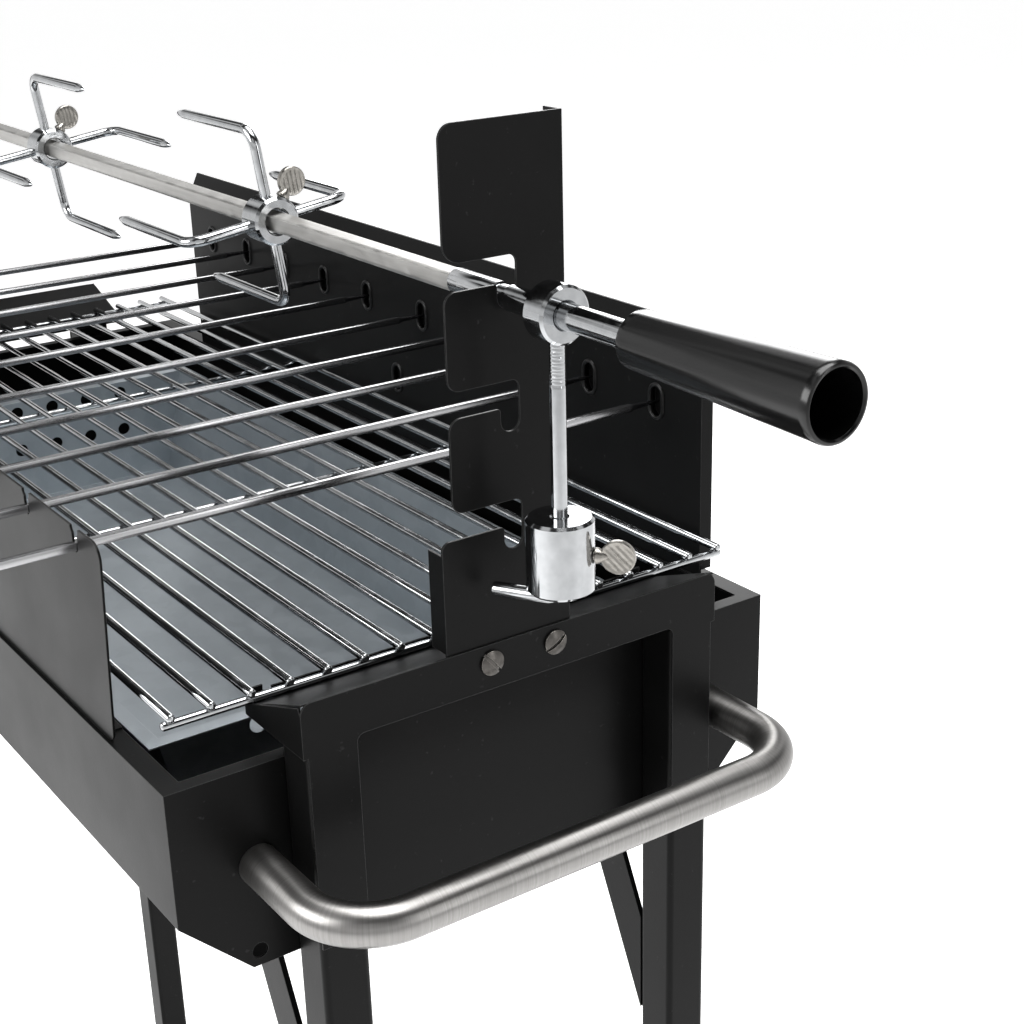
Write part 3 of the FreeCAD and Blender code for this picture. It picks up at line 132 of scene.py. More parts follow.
# The room is noise over the direction, pushed to dark and light, and fades to plain pale light
# towards the horizon.
world = bpy.data.worlds.new("studio")
world.use_nodes = True
add = adder(world.node_tree)
heading_to = add("TexCoord").outputs["Generated"]
openings = add("TexNoise", None, {"Vector": heading_to, "Scale": 2.3, "Detail": 1.0}).outputs[0]
room = add("MapRange", None, {"Value": openings, "From Min": 0.50, "From Max": 0.60, "To Min": 0.03,
                              "To Max": 0.80}).outputs[0]
height = add("SeparateXYZ", None, {0: heading_to}).outputs[2]
overhead = add("MapRange", None, {"Value": height, "From Min": 0.16, "From Max": 0.36}).outputs[0]
sky = add("Mix", None, {"Factor": overhead, 2: 0.92, 3: room}).outputs[0]
background = world.node_tree.nodes["Background"]
background.inputs["Color"].default_value = (1.0, 1.0, 1.0, 1.0)
link_inputs(background, {"Strength": sky})
bpy.context.scene.world = world

aim_point = Vector((fire_high.x - 0.2, 0.0, fire_high.z))
for name, place, width, height, power in (
        ("front_softbox", (-0.4, -2.6, 2.1), 2.2, 1.4, 70.0),
        ("top_softbox", (0.2, 0.4, 3.2), 2.0, 1.6, 70.0),
        ("back_softbox", (-2.4, 2.2, 2.0), 1.6, 1.6, 40.0),
        ("right_strip", (2.8, 1.2, 1.6), 0.4, 2.0, 10.0)):
    lamp = bpy.data.lights.new(name, "AREA")
    lamp.shape = "RECTANGLE"
    lamp.size = width
    lamp.size_y = height
    lamp.energy = power
    holder = bpy.data.objects.new(name, lamp)
    holder.location = place
    holder.rotation_euler = (aim_point - Vector(place)).to_track_quat("-Z", "Y").to_euler()
    bpy.context.scene.collection.objects.link(holder)

# --- Black powder-coated sheet -------------------------------------------------------------------
# The firebox, legs, braces, end frames, both panels and the spit plates: bent steel sheet and square
# tube, sheared or punched, then powder coated; the pale line on every edge is partly thin coat, partly
# painted highlight.


def effect_group(name, inputs, outputs):
    """An empty shader node group: (group, its node adder, its input node, its output node)."""
    group = bpy.data.node_groups.new(name, "ShaderNodeTree")
    for label, kind, value in inputs:
        socket = group.interface.new_socket(label, in_out="INPUT", socket_type="NodeSocket" + kind)
        socket.default_value = value
    for label, kind in outputs:
        group.interface.new_socket(label, in_out="OUTPUT", socket_type="NodeSocket" + kind)
    return group, adder(group), group.nodes.new("NodeGroupInput"), group.nodes.new("NodeGroupOutput")


def maths(add, operation, first, second=0.0, clamp=False):
    """One Math node's result."""
    return add("Math", {"operation": operation, "use_clamp": clamp}, {0: first, 1: second}).outputs[0]


def blend_colour(add, factor, first, second):
    """Mix of two colours by a factor."""
    made = add("Mix", {"data_type": "RGBA"}, {0: factor, 6: first, 7: second})
    return made.outputs[2]


def grey(value):
    """An opaque grey."""
    return (value, value, value, 1.0)


# Soft normal and pale line along sharp edges, partly wear and partly a painted highlight: the normal is
# averaged over a small radius, and the mask is how far that average leans away from the face.
edge_group, add, taken, given = effect_group(
    "sheared_edge", [("Radius", "Float", 0.0005), ("Reach", "Float", 6.0)],
    [("Mask", "Float"), ("Normal", "Vector")])
rounded = add("Bevel", {"samples": 4}, {"Radius": taken.outputs["Radius"]})
face = add("NewGeometry")
agreement = add("VectorMath", {"operation": "DOT_PRODUCT"},
                {0: rounded.outputs[0], 1: face.outputs["Normal"]}).outputs["Value"]
lean = maths(add, "MULTIPLY", maths(add, "SUBTRACT", 1.0, agreement), taken.outputs["Reach"], clamp=True)
edge_group.links.new(lean, given.inputs["Mask"])
edge_group.links.new(rounded.outputs[0], given.inputs["Normal"])

# Grain of a sprayed or moulded skin: a fine noise for the bump, a broad one for uneven gloss, and a
# thin scatter of pale specks, which is a high threshold on a third noise.
grain_group, add, taken, given = effect_group(
    "sprayed_grain", [("Fineness", "Float", 900.0)],
    [("Height", "Float"), ("Cloud", "Float"), ("Specks", "Float")])
where = add("TexCoord").outputs["Object"]
fine = add("TexNoise", None, {"Vector": where, "Scale": taken.outputs["Fineness"], "Detail": 3.0})
cloud = add("TexNoise", None, {"Vector": where, "Scale": 9.0, "Detail": 4.0, "Roughness": 0.6})
speck = add("TexNoise", None, {"Vector": where, "Scale": 260.0, "Detail": 2.0})
specks = add("MapRange", None, {"Value": speck.outputs[0], "From Min": 0.70, "From Max": 0.78})
grain_group.links.new(fine.outputs[0], given.inputs["Height"])
grain_group.links.new(cloud.outputs[0], given.inputs["Cloud"])
grain_group.links.new(specks.outputs[0], given.inputs["Specks"])


def grouped(add, group, **values):
    """A node of an effect group, with its inputs set."""
    made = add("Group", {"node_tree": group})
    for name, value in values.items():
        made.inputs[name].default_value = value
    return made


def coated(name, dark, pale, rough, rubbed, radius=0.0005, gloss=0.5, bump=0.12, fineness=900.0):
    """Powder coat or moulded plastic: uneven gloss, fine grain, and a paler line along edges, partly wear
    and partly painted highlight.
    """
    material, add, shader = bare_material(name)
    grain = grouped(add, grain_group, Fineness=fineness)
    edge = grouped(add, edge_group, Radius=radius)
    skin = blend_colour(add, grain.outputs["Cloud"], dark, pale)
    skin = blend_colour(add, maths(add, "MULTIPLY", grain.outputs["Specks"], 0.15), skin, rubbed)
    # The edge mask pales the skin: partly wear, partly a painted highlight along every edge.
    skin = blend_colour(add, maths(add, "MULTIPLY", edge.outputs["Mask"], 0.8), skin, rubbed)
    dull = add("MapRange", None, {"Value": grain.outputs["Cloud"], "From Min": 0.3, "From Max": 0.7,
                                  "To Min": rough - 0.05, "To Max": rough + 0.06}).outputs[0]
    dents = add("Bump", None, {"Height": grain.outputs["Height"], "Strength": bump, "Distance": 0.0003,
                               "Normal": edge.outputs["Normal"]})
    link_inputs(shader, {"Base Color": skin, "Roughness": dull, "Normal": dents.outputs[0]})
    shader.inputs["Specular IOR Level"].default_value = gloss
    return material


def dress(material, *nodes):
    """Give CAD nodes a material."""
    for name in nodes:
        target = frame["nodes"][name].data
        target.materials.clear()
        target.materials.append(material)


black_coat = coated("black_powder_coat", grey(0.003), grey(0.007), 0.36, grey(0.10), gloss=0.09)
sheet_kinds = ("firebox", "end", "leg", "brace")
sheet_nodes = ("skewer_panel", "wind_panel", "spit_plate_near", "spit_plate_far")
dress(black_coat, *[name for name in frame["nodes"]
                    if name.split("_")[0] in sheet_kinds or name in sheet_nodes])

# --- Charcoal pan and motor block ----------------------------------------------------------------
# Folded galvanised sheet: bluish grey zinc with flat crystals of a few millimetres that differ a
# little in brightness and gloss. The motor's closed gear block has the same skin.

galvanised, add, shader = bare_material("galvanised_sheet")
where = add("TexCoord").outputs["Object"]
bent = add("TexNoise", None, {"Vector": where, "Scale": 60.0, "Detail": 2.0}).outputs["Color"]
bent = add("Mix", {"data_type": "VECTOR"}, {0: 0.015, 4: where, 5: bent}).outputs[1]
crystal = add("TexVoronoi", None, {"Vector": bent, "Scale": 95.0}).outputs["Color"]
shade = add("SeparateColor", None, {0: crystal}).outputs[0]
zinc = blend_colour(add, shade, (0.45, 0.49, 0.52, 1.0), (0.49, 0.53, 0.56, 1.0))
dull = add("MapRange", None, {"Value": shade, "To Min": 0.40, "To Max": 0.45}).outputs[0]
edge = grouped(add, edge_group, Radius=0.0004)
link_inputs(shader, {"Base Color": zinc, "Roughness": dull, "Normal": edge.outputs["Normal"]})
shader.inputs["Metallic"].default_value = 0.85
dress(galvanised, "charcoal_pan", "gear_motor")

# --- Pushing handle ------------------------------------------------------------------------------
# One stainless tube bent to a U, brushed round its length, and fixed flat against the firebox end
# with a screw from inside.


def mesh_piece(name, grids, material, body, nodes, crease=38.0, closed=False):
    """A piece from grids of points, each (stations, around, 3), joined round their second index.

    Each quad runs (i, j), (i, j + 1), (i + 1, j + 1), (i + 1, j). The first and last rings are closed
    by a flat face, or joined to each other when the profile is closed.
    """
    points, faces, start = [], [], 0
    for grid in grids:
        rows, around = grid.shape[:2]
        index = start + np.arange(rows * around).reshape(rows, around)
        turned_index = np.roll(index, -1, axis=1)
        upper, upper_turned = np.roll(index, -1, axis=0), np.roll(turned_index, -1, axis=0)
        quads = np.stack([index, turned_index, upper_turned, upper], axis=-1)
        faces += (quads if closed else quads[:-1]).reshape(-1, 4).tolist()
        if not closed:
            faces += [index[0, ::-1].tolist(), index[-1].tolist()]
        points.append(grid.reshape(-1, 3))
        start += rows * around
    mesh = bpy.data.meshes.new(name)
    mesh.from_pydata(np.concatenate(points).tolist(), [], faces)
    mesh.shade_smooth()
    mesh.set_sharp_from_angle(angle=math.radians(crease))
    mesh.materials.append(material)
    piece = bpy.data.objects.new(name, mesh)
    bpy.context.scene.collection.objects.link(piece)
    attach(piece, body)
    if nodes:
        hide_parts(*nodes)
    return piece


def ring_angles(around):
    """Evenly spaced angles round a section."""
    return np.linspace(0.0, 2 * math.pi, around, endpoint=False)


def carried(path, flat, radius, around=24):
    """A section carried along a flat path: point + radius * (cos a * flat + sin a * (path x flat)).

    flat is the unit normal of the plane the path lies in; radius is a number, one per station, or an
    array of (stations, around).
    """
    path, flat = np.asarray(path, float), np.asarray(flat, float)
    along = np.gradient(path, axis=0)
    along /= np.linalg.norm(along, axis=1, keepdims=True)
    side = np.cross(along, flat)
    angle = ring_angles(around)
    radius = np.broadcast_to(np.asarray(radius, float).reshape(-1, 1) if np.ndim(radius) < 2 else radius,
                             (len(path), around))
    spread = np.cos(angle)[None, :, None] * flat + np.sin(angle)[None, :, None] * side[:, None, :]
    return path[:, None, :] + radius[:, :, None] * spread


def bent_path(corners, bend, steps=12):
    """Straight runs joined by arcs of one radius at the inner corners, as an array of points."""
    corners = [np.asarray(point, float) for point in corners]
    points = [corners[0][None]]
    for before, here, after in zip(corners, corners[1:], corners[2:]):
        back, ahead = before - here, after - here
        back, ahead = back / np.linalg.norm(back), ahead / np.linalg.norm(ahead)
        half = math.acos(np.clip(back @ ahead, -1.0, 1.0)) / 2
        setback = bend / math.tan(half)
        middle = here + (back + ahead) / np.linalg.norm(back + ahead) * bend / math.sin(half)
        first, last = here + back * setback - middle, here + ahead * setback - middle
        sweep = math.pi - 2 * half
        share = np.linspace(0.0, 1.0, steps)[:, None]
        points.append(middle + (np.sin((1 - share) * sweep) * first + np.sin(share * sweep) * last)
                      / math.sin(sweep))
    points.append(corners[-1][None])
    return np.concatenate(points)


handle_low, handle_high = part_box("push_handle")
tube_radius = (handle_high.z - handle_low.z) / 2
handle_z = (handle_high.z + handle_low.z) / 2
handle_bend = 0.034
out_x = handle_high.x - tube_radius
front_y, back_y = handle_low.y + tube_radius, handle_high.y - tube_radius
handle_path = bent_path([(handle_low.x, front_y, handle_z), (out_x, front_y, handle_z),
                         (out_x, back_y, handle_z), (handle_low.x, back_y, handle_z)],
                        handle_bend, steps=24)

brushed, add, shader = bare_material("brushed_stainless")
route = add("UVMap", {"uv_map": "brushing"}).outputs[0]
lines = add("Mapping", None, {"Vector": route, "Scale": (900.0, 6.0, 1.0)}).outputs[0]
scratches = add("TexNoise", None,
                {"Vector": lines, "Scale": 1.0, "Detail": 6.0, "Roughness": 0.7}).outputs[0]
where = add("TexCoord").outputs["Object"]
patches = add("TexNoise", None, {"Vector": where, "Scale": 22.0, "Detail": 3.0}).outputs[0]
steel = blend_colour(add, scratches, (0.14, 0.135, 0.13, 1.0), (0.46, 0.45, 0.44, 1.0))
steel = blend_colour(add, maths(add, "MULTIPLY", patches, 0.4), steel, (0.20, 0.195, 0.185, 1.0))
dull = add("MapRange", None, {"Value": patches, "To Min": 0.24, "To Max": 0.44}).outputs[0]
dents = add("Bump", None, {"Height": scratches, "Strength": 0.12, "Distance": 0.0002}).outputs[0]
link_inputs(shader, {"Base Color": steel, "Roughness": dull, "Normal": dents})
shader.inputs["Metallic"].default_value = 1.0
shader.inputs["Anisotropic"].default_value = 0.5


def brushing_map(piece, around, lengths, girth):
    """UV map of a carried section: u is metres along the path and v metres round it."""
    mesh = piece.data
    layer = mesh.uv_layers.new(name="brushing")
    corner_point = np.empty(len(mesh.loops), np.int32)
    mesh.loops.foreach_get("vertex_index", corner_point)
    row, column = corner_point // around, corner_point % around
    face_of = np.repeat(np.arange(len(mesh.polygons)), [len(face.vertices) for face in mesh.polygons])
    first = np.zeros(len(mesh.polygons), np.int64)
    np.maximum.at(first, face_of, column)
    wraps = (first[face_of] == around - 1) & (column == 0)
    across = (column + wraps * around) * girth / around
    layer.data.foreach_set("uv", np.stack([lengths[row], across], axis=1).astype(np.float32).ravel())


handle_around = 40
handle = mesh_piece("handle_tube", [carried(handle_path, (0, 0, 1), tube_radius, handle_around)], brushed,
                    "barbecue", ["push_handle"])
run = np.concatenate([[0.0], np.cumsum(np.linalg.norm(np.diff(handle_path, axis=0), axis=1))])
brushing_map(handle, handle_around, run, 2 * math.pi * tube_radius)

# --- Bright chromed wire: cooking grid -----------------------------------------------------------
# Round steel wires laid across each other and spot welded, then chromed. The long wires lie on the
# cross wires and stand past the end ones a little; every end is slightly rounded by the plating.

chrome, add, shader = bare_material("bright_chrome")
where = add("TexCoord").outputs["Object"]
drawn = add("TexNoise", None, {"Vector": where, "Scale": 160.0, "Detail": 3.0}).outputs[0]
plating = blend_colour(add, drawn, (0.35, 0.36, 0.37, 1.0), (0.57, 0.58, 0.59, 1.0))
dull = add("MapRange", None, {"Value": drawn, "From Min": 0.3, "From Max": 0.7, "To Min": 0.05,
                              "To Max": 0.16}).outputs[0]
dents = add("Bump", None, {"Height": drawn, "Strength": 0.08, "Distance": 0.0004}).outputs[0]
link_inputs(shader, {"Base Color": plating, "Roughness": dull, "Normal": dents})
shader.inputs["Metallic"].default_value = 1.0


def turned(start, along, profile, around=48):
    """A profile of (distance, radius) turned about a line: start + along * distance + radius * ring."""
    along = np.asarray(along, float) / np.linalg.norm(along)
    first = np.cross(along, (0.0, 0.0, 1.0) if abs(along[2]) < 0.9 else (0.0, 1.0, 0.0))
    first /= np.linalg.norm(first)
    second = np.cross(along, first)
    angle = ring_angles(around)
    ring = np.cos(angle)[:, None] * first + np.sin(angle)[:, None] * second
    distance, radius = np.asarray(profile, float).T
    return np.asarray(start, float) + distance[:, None, None] * along + radius[:, None, None] * ring


def rounded_wire(start, end, radius, around=12):
    """A straight wire whose ends are rounded over half a radius."""
    start, end = np.asarray(start, float), np.asarray(end, float)
    length = np.linalg.norm(end - start)
    lead = radius * 0.5
    profile = [(0.0, radius * 0.55), (lead * 0.4, radius * 0.86), (lead, radius),
               (length - lead, radius), (length - lead * 0.4, radius * 0.86), (length, radius * 0.55)]
    return turned(start, end - start, profile, around)


grid_low, grid_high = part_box("cooking_grid")
wire = 0.0022
rods, pitch, cross_wires = 17, 0.020, 4
grid_over = 0.004
middle_y = (grid_low.y + grid_high.y) / 2
low_z, high_z = grid_low.z + wire, grid_high.z - wire
rod_places = [middle_y + (i - rods // 2) * pitch for i in range(rods)]
grid_wires = [rounded_wire((grid_low.x, y, high_z), (grid_high.x, y, high_z), wire) for y in rod_places]
first_x, last_x = grid_low.x + grid_over, grid_high.x - grid_over
grid_wires += [rounded_wire((x, grid_low.y, low_z), (x, grid_high.y, low_z), wire)
               for x in np.linspace(first_x, last_x, cross_wires)]
mesh_piece("grid_wires", grid_wires, chrome, "grid", ["cooking_grid"])

# --- Skewers -------------------------------------------------------------------------------------
# Square stainless bars with rounded edges. The front end is drawn round and curled into a ring to
# turn it by, and the back end is ground to a point that sits in its cup; that point is painted dark, a
# painted reflection of the dark panel.

skewer_steel, add, shader = bare_material("skewer_steel")
where = add("TexCoord").outputs["Object"]
lengthwise = add("Mapping", None, {"Vector": where, "Scale": (700.0, 12.0, 700.0)}).outputs[0]
drawn = add("TexNoise", None, {"Vector": lengthwise, "Scale": 1.0, "Detail": 4.0}).outputs[0]
plating = blend_colour(add, drawn, (0.30, 0.30, 0.31, 1.0), (0.58, 0.58, 0.59, 1.0))
ground_back = 0.021
along_bar = add("SeparateXYZ", None, {0: where}).outputs[1]
# The last ground_back of each bar is painted darker: a painted reflection of the dark panel behind it.
ground = maths(add, "GREATER_THAN", along_bar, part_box("skewer_01")[1].y - ground_back)
plating = blend_colour(add, maths(add, "MULTIPLY", ground, 0.8), plating, (0.10, 0.10, 0.11, 1.0))
dull = add("MapRange", None, {"Value": drawn, "To Min": 0.12, "To Max": 0.32}).outputs[0]
link_inputs(shader, {"Base Color": plating, "Roughness": dull})
shader.inputs["Metallic"].default_value = 1.0


def squared(angle, half, sharpness=9.0, turn=0.0):
    """Radius of a square section with rounded edges: half / (|cos|^n + |sin|^n)^(1/n)."""
    spread = np.abs(np.cos(angle - turn)) ** sharpness + np.abs(np.sin(angle - turn)) ** sharpness
    return half / spread ** (1 / sharpness)


joints = {joint["name"]: joint for joint in frame["joints"]}
skewer_half, ring_wire = 0.002, 0.0018
tip_round = 0.0007
around = 24
for number in range(1, 11):
    node = "skewer_%02d" % number
    low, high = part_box(node)
    x, z = (joints["skewer_%d_turn" % number]["pos_m"][i] for i in (0, 2))
    ring_middle = (high.x - low.x) / 2 - ring_wire
    ring_y = low.y + ring_wire + ring_middle
    neck_y = ring_y + ring_middle
    angle = ring_angles(around)
    square = squared(angle, skewer_half)
    stations = [(neck_y, ring_wire), (neck_y + 0.006, ring_wire), (neck_y + 0.010, square),
                (high.y - ground_back, square), (high.y - ground_back + 0.002, skewer_half * 0.85),
                (high.y - 0.006, skewer_half * 0.6), (high.y - 0.001, tip_round),
                (high.y, tip_round * 0.3)]
    bar = carried([(x, y, z) for y, _ in stations], (0, 0, 1),
                  np.stack([np.broadcast_to(size, (around,)) for _, size in stations]), around)
    curl = np.linspace(0.5 * math.pi, 2.42 * math.pi, 40)
    loop_path = np.stack([x + ring_middle * np.cos(curl), ring_y + ring_middle * np.sin(curl),
                          np.full(40, z)], axis=1)
    loop = carried(loop_path, (0, 0, 1), ring_wire, 14)
    mesh_piece("skewer_%02d_bar" % number, [bar, loop], skewer_steel, "skewer_%d" % number,
               [node])

# --- Spit bar ------------------------------------------------------------------------------------
# A square zinc-dulled bar. Its grip end is a chromed round shaft with a turned neck where it runs in
# the near spit plate; the far neck is turned in the bar itself.

spit_low, spit_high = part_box("spit_bar")
spit_y, spit_z = joints["spit_turn"]["pos_m"][1:]
bar_half, shaft, neck, neck_half = 0.00425, 0.006, 0.00515, 0.004
bar_turn = math.radians(8.0)
bar_end = fire_high.x - 0.013
plate_half = 0.0006
near_plate_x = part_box("spit_plate_near")[1].x - plate_half
far_plate_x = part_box("spit_plate_far")[0].x + plate_half
ease = 0.0005

zinc_bar, add, shader = bare_material("dull_zinc_bar")
where = add("TexCoord").outputs["Object"]
lengthwise = add("Mapping", None, {"Vector": where, "Scale": (18.0, 500.0, 500.0)}).outputs[0]
rolled = add("TexNoise", None,
             {"Vector": lengthwise, "Scale": 1.0, "Detail": 4.0, "Roughness": 0.65}).outputs[0]
bloom = add("TexNoise", None, {"Vector": where, "Scale": 140.0, "Detail": 5.0}).outputs[0]
skin = blend_colour(add, rolled, (0.34, 0.335, 0.32, 1.0), (0.62, 0.61, 0.59, 1.0))
skin = blend_colour(add, maths(add, "MULTIPLY", bloom, 0.3), skin, (0.70, 0.69, 0.67, 1.0))
dull = add("MapRange", None, {"Value": bloom, "From Min": 0.3, "From Max": 0.7, "To Min": 0.30,
                              "To Max": 0.50}).outputs[0]
dents = add("Bump", None, {"Height": bloom, "Strength": 0.10, "Distance": 0.0003}).outputs[0]
link_inputs(shader, {"Base Color": skin, "Roughness": dull, "Normal": dents})
shader.inputs["Metallic"].default_value = 0.9


def spit_run(stations):
    """A run of the spit: stations of (x, half side or radius, whether it is square)."""
    angle = ring_angles(32)
    path = np.array([(x, spit_y, spit_z) for x, _, _ in stations])
    radius = np.stack([squared(angle, size, 14.0, bar_turn) if is_square else np.full(32, size)
                       for _, size, is_square in stations])
    side, top = np.array((0.0, 1.0, 0.0)), np.array((0.0, 0.0, 1.0))
    spread = np.cos(angle)[None, :, None] * side + np.sin(angle)[None, :, None] * top
    return path[:, None, :] + radius[:, :, None] * spread


far_neck_low, far_neck_high = far_plate_x - neck_half, far_plate_x + neck_half
square_run = spit_run([
    (spit_low.x, bar_half - ease, True), (spit_low.x + ease, bar_half, True),
    (far_neck_low, bar_half, True),
    (far_neck_low + 0.0001, neck, False), (far_neck_high, neck, False),
    (far_neck_high + 0.0001, bar_half, True),
    (bar_end - 0.0015, bar_half, True), (bar_end, bar_half * 0.96, True)])
mesh_piece("spit_square_bar", [square_run], zinc_bar, "spit", ["spit_bar"])
near_neck_low, near_neck_high = near_plate_x - neck_half, near_plate_x + neck_half
shaft_run = spit_run([
    (bar_end - 0.002, shaft * 0.9, False), (bar_end - 0.001, shaft, False),
    (near_neck_low - ease, shaft, False), (near_neck_low, neck, False), (near_neck_high, neck, False),
    (near_neck_high + ease, shaft, False), (spit_high.x, shaft, False)])
mesh_piece("spit_round_shaft", [shaft_run], chrome, "spit", [])

# --- Collar, counterweight and its rod -----------------------------------------------------------
# A chromed collar on the shaft takes the threaded end of a bent rod. A heavy chromed cylinder slides
# on the rod and is held by a thumbscrew.


def ring_profile(length, outer, inner, chamfer):
    """Closed section of a ring with chamfered edges, inside and out."""
    bevel = chamfer * 0.6
    return [(chamfer, outer), (length - chamfer, outer), (length, outer - chamfer),
            (length, inner + bevel), (length - bevel, inner), (bevel, inner), (0.0, inner + bevel),
            (0.0, outer - chamfer)]


collar_low, collar_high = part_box("collar")
collar_radius = (collar_high.z - collar_low.z) / 2
collar_long = collar_high.x - collar_low.x
collar_shape = turned((collar_low.x, spit_y, spit_z), (1, 0, 0),
                      ring_profile(collar_long, collar_radius, shaft + 0.0001, 0.0012), 64)
mesh_piece("collar_ring", [collar_shape], chrome, "spit", ["collar"], closed=True)

stem_x = (collar_low.x + collar_high.x) / 2
stem_radius, stem_bend, foot_long = 0.0035, 0.008, 0.033
foot_heading = math.radians(212.0)
stem_low, stem_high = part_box("counterweight_rod")
foot_z = stem_low.z + stem_radius
foot_along = np.array((math.cos(foot_heading), math.sin(foot_heading), 0.0))
stem_top = np.array((stem_x, spit_y, stem_high.z))
elbow_at = np.array((stem_x, spit_y, foot_z))
thread_long, thread_pitch, thread_deep = 0.026, 0.0011, 0.0003
straight = np.linspace(0.0, 1.0, 180)[:, None]
straight_path = stem_top + (elbow_at + (0, 0, stem_bend) - stem_top) * straight
arc = np.linspace(0.0, math.pi / 2, 14)[1:, None]
bend_middle = elbow_at + foot_along * stem_bend + (0, 0, stem_bend)
bend_path = bend_middle - foot_along * stem_bend * np.cos(arc) - np.array((0, 0, stem_bend)) * np.sin(arc)
foot_reaches = (foot_long - 0.0012, foot_long - 0.0003, foot_long)
foot_end = np.array([elbow_at + foot_along * reach for reach in foot_reaches])
stem_path = np.concatenate([straight_path, bend_path, foot_end])
stem_flat = np.cross(foot_along, (0, 0, 1))
angle = ring_angles(24)
down = stem_top[2] - stem_path[:, 2]
turns = down[:, None] / thread_pitch - angle[None, :] / (2 * math.pi)
ridge = np.abs((turns % 1.0) * 2 - 1) * (down < thread_long)[:, None]
thickness = stem_radius - thread_deep * ridge
thickness[-2:] *= np.array([[0.9], [0.6]])
mesh_piece("counterweight_stem", [carried(stem_path, stem_flat, thickness, 24)], chrome, "spit",
           ["counterweight_rod"])

weight_low, weight_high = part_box("counterweight")
weight_radius = (weight_high.x - weight_low.x) / 2
weight_tall = weight_high.z - weight_low.z
weight_shape = turned((stem_x, spit_y, weight_low.z), (0, 0, 1),
                      ring_profile(weight_tall, weight_radius, stem_radius + 0.0001, 0.0014), 64)
mesh_piece("counterweight_body", [weight_shape], chrome, "weight", ["counterweight"],
           closed=True)

# --- Thumbscrews ---------------------------------------------------------------------------------
# Cast and nickel plated: a plain screw that ends in a round flat paddle, its faces crossed by
# slanting ridges for the fingers.

nickel, add, shader = bare_material("worn_nickel")
where = add("TexCoord").outputs["Object"]
cast = add("TexNoise", None, {"Vector": where, "Scale": 420.0, "Detail": 4.0}).outputs[0]
plating = blend_colour(add, cast, (0.20, 0.19, 0.17, 1.0), (0.46, 0.44, 0.41, 1.0))
dull = add("MapRange", None, {"Value": cast, "To Min": 0.18, "To Max": 0.42}).outputs[0]
dents = add("Bump", None, {"Height": cast, "Strength": 0.2, "Distance": 0.0003}).outputs[0]
link_inputs(shader, {"Base Color": plating, "Roughness": dull, "Normal": dents})
shader.inputs["Metallic"].default_value = 1.0

paddle_radius, paddle_half = 0.008, 0.0015
ridge_pitch, ridge_high = 0.0024, 0.0004
screw_radius, screw_start, paddle_gap = 0.0025, 0.0066, 0.0025


def thumbscrew(name, middle, along, flat, surface, node, body):
    """A thumbscrew from inside its hub out to its paddle.

    The paddle is a disc turned about flat; each face is raised by ridge_high * sin of the distance
    along a slanting line, fading out at the rim.
    """
    middle, along, flat = (np.asarray(value, float) for value in (middle, along, flat))
    across = np.cross(along, flat)
    reach = surface + paddle_gap + paddle_radius
    centre = middle + along * reach
    rim = np.linspace(0.05, 1.0, 12) * (paddle_radius - 0.0006)
    profile = [(-paddle_half, radius) for radius in rim]
    profile += [(-paddle_half * 0.7, paddle_radius - 0.0001), (0.0, paddle_radius),
                (paddle_half * 0.7, paddle_radius - 0.0001)]
    profile += [(paddle_half, radius) for radius in rim[::-1]]
    paddle = turned(centre, flat, profile, 72)
    local = paddle - centre
    slant = (local @ along + local @ across) / math.sqrt(2)
    depth = local @ flat
    out = np.sqrt(np.maximum((local ** 2).sum(-1) - depth ** 2, 0.0))
    fade = np.clip((paddle_radius - 0.001 - out) / 0.001, 0.0, 1.0)
    lift = ridge_high * (np.sin(2 * math.pi * slant / ridge_pitch) - 1.0) * 0.5 * fade * np.sign(depth)
    paddle = paddle + lift[:, :, None] * flat
    shown = surface - screw_start
    shank = turned(middle + along * screw_start, along, [
        (0.0, screw_radius), (shown, screw_radius), (shown + 0.0006, screw_radius * 1.5),
        (shown + 0.0016, screw_radius * 1.5), (shown + 0.004, screw_radius * 0.95),
        (shown + 0.006, screw_radius * 0.55)], 24)
    return mesh_piece(name, [shank, paddle], nickel, body, [node])


weight_axis = joints["weight_screw_turn"]["axis"]
weight_screw_at = joints["weight_screw_turn"]["pos_m"]
thumbscrew("weight_thumb_paddle", weight_screw_at, weight_axis, np.cross((0, 0, 1), weight_axis),
           weight_radius, "weight_screw", "weight_thumbscrew")

# --- Meat forks ----------------------------------------------------------------------------------
# A chromed hub slides on the bar and carries four round wires, each bent once to lie along the spit
# and ground to a point.

hub_radius, hub_half = 0.013, 0.009
prong, prong_out, prong_long, prong_bend, prong_point = 0.0029, 0.048, 0.092, 0.010, 0.011
for end, sense in (("near", -1.0), ("far", 1.0)):
    turn_joint = joints["fork_%s_screw_turn" % end]
    hub_at = np.array(turn_joint["pos_m"])
    shapes = []
    for quarter in range(4):
        heading = bar_turn + quarter * math.pi / 2
        outward = np.array((0.0, math.cos(heading), math.sin(heading)))
        lengthways = np.array((sense, 0.0, 0.0))
        corner = hub_at + outward * prong_out
        path = bent_path([hub_at + outward * hub_radius * 0.8, corner,
                          corner + lengthways * (prong_long - prong_point)], prong_bend, 14)
        tip = path[-1] + lengthways * np.linspace(0.0, prong_point, 6)[1:, None]
        path = np.concatenate([path, tip])
        slim = np.concatenate([np.full(len(path) - 5, prong),
                               prong * np.sqrt(1 - np.linspace(0.2, 0.99, 5))])
        shapes.append(carried(path, np.cross(outward, lengthways), slim, 20))
    mesh_piece("fork_%s_prongs" % end, shapes, chrome, "%s_fork" % end, ["fork_" + end])
    hub_shape = turned(hub_at - (hub_half, 0, 0), (1, 0, 0),
                       ring_profile(2 * hub_half, hub_radius, bar_half * 1.6, 0.0014), 64)
    mesh_piece("fork_%s_hub" % end, [hub_shape], chrome, "%s_fork" % end, [], closed=True)
    thumbscrew("fork_%s_thumb_paddle" % end, hub_at, turn_joint["axis"], (1, 0, 0), hub_radius,
               "fork_%s_screw" % end, "%s_fork_screw" % end)

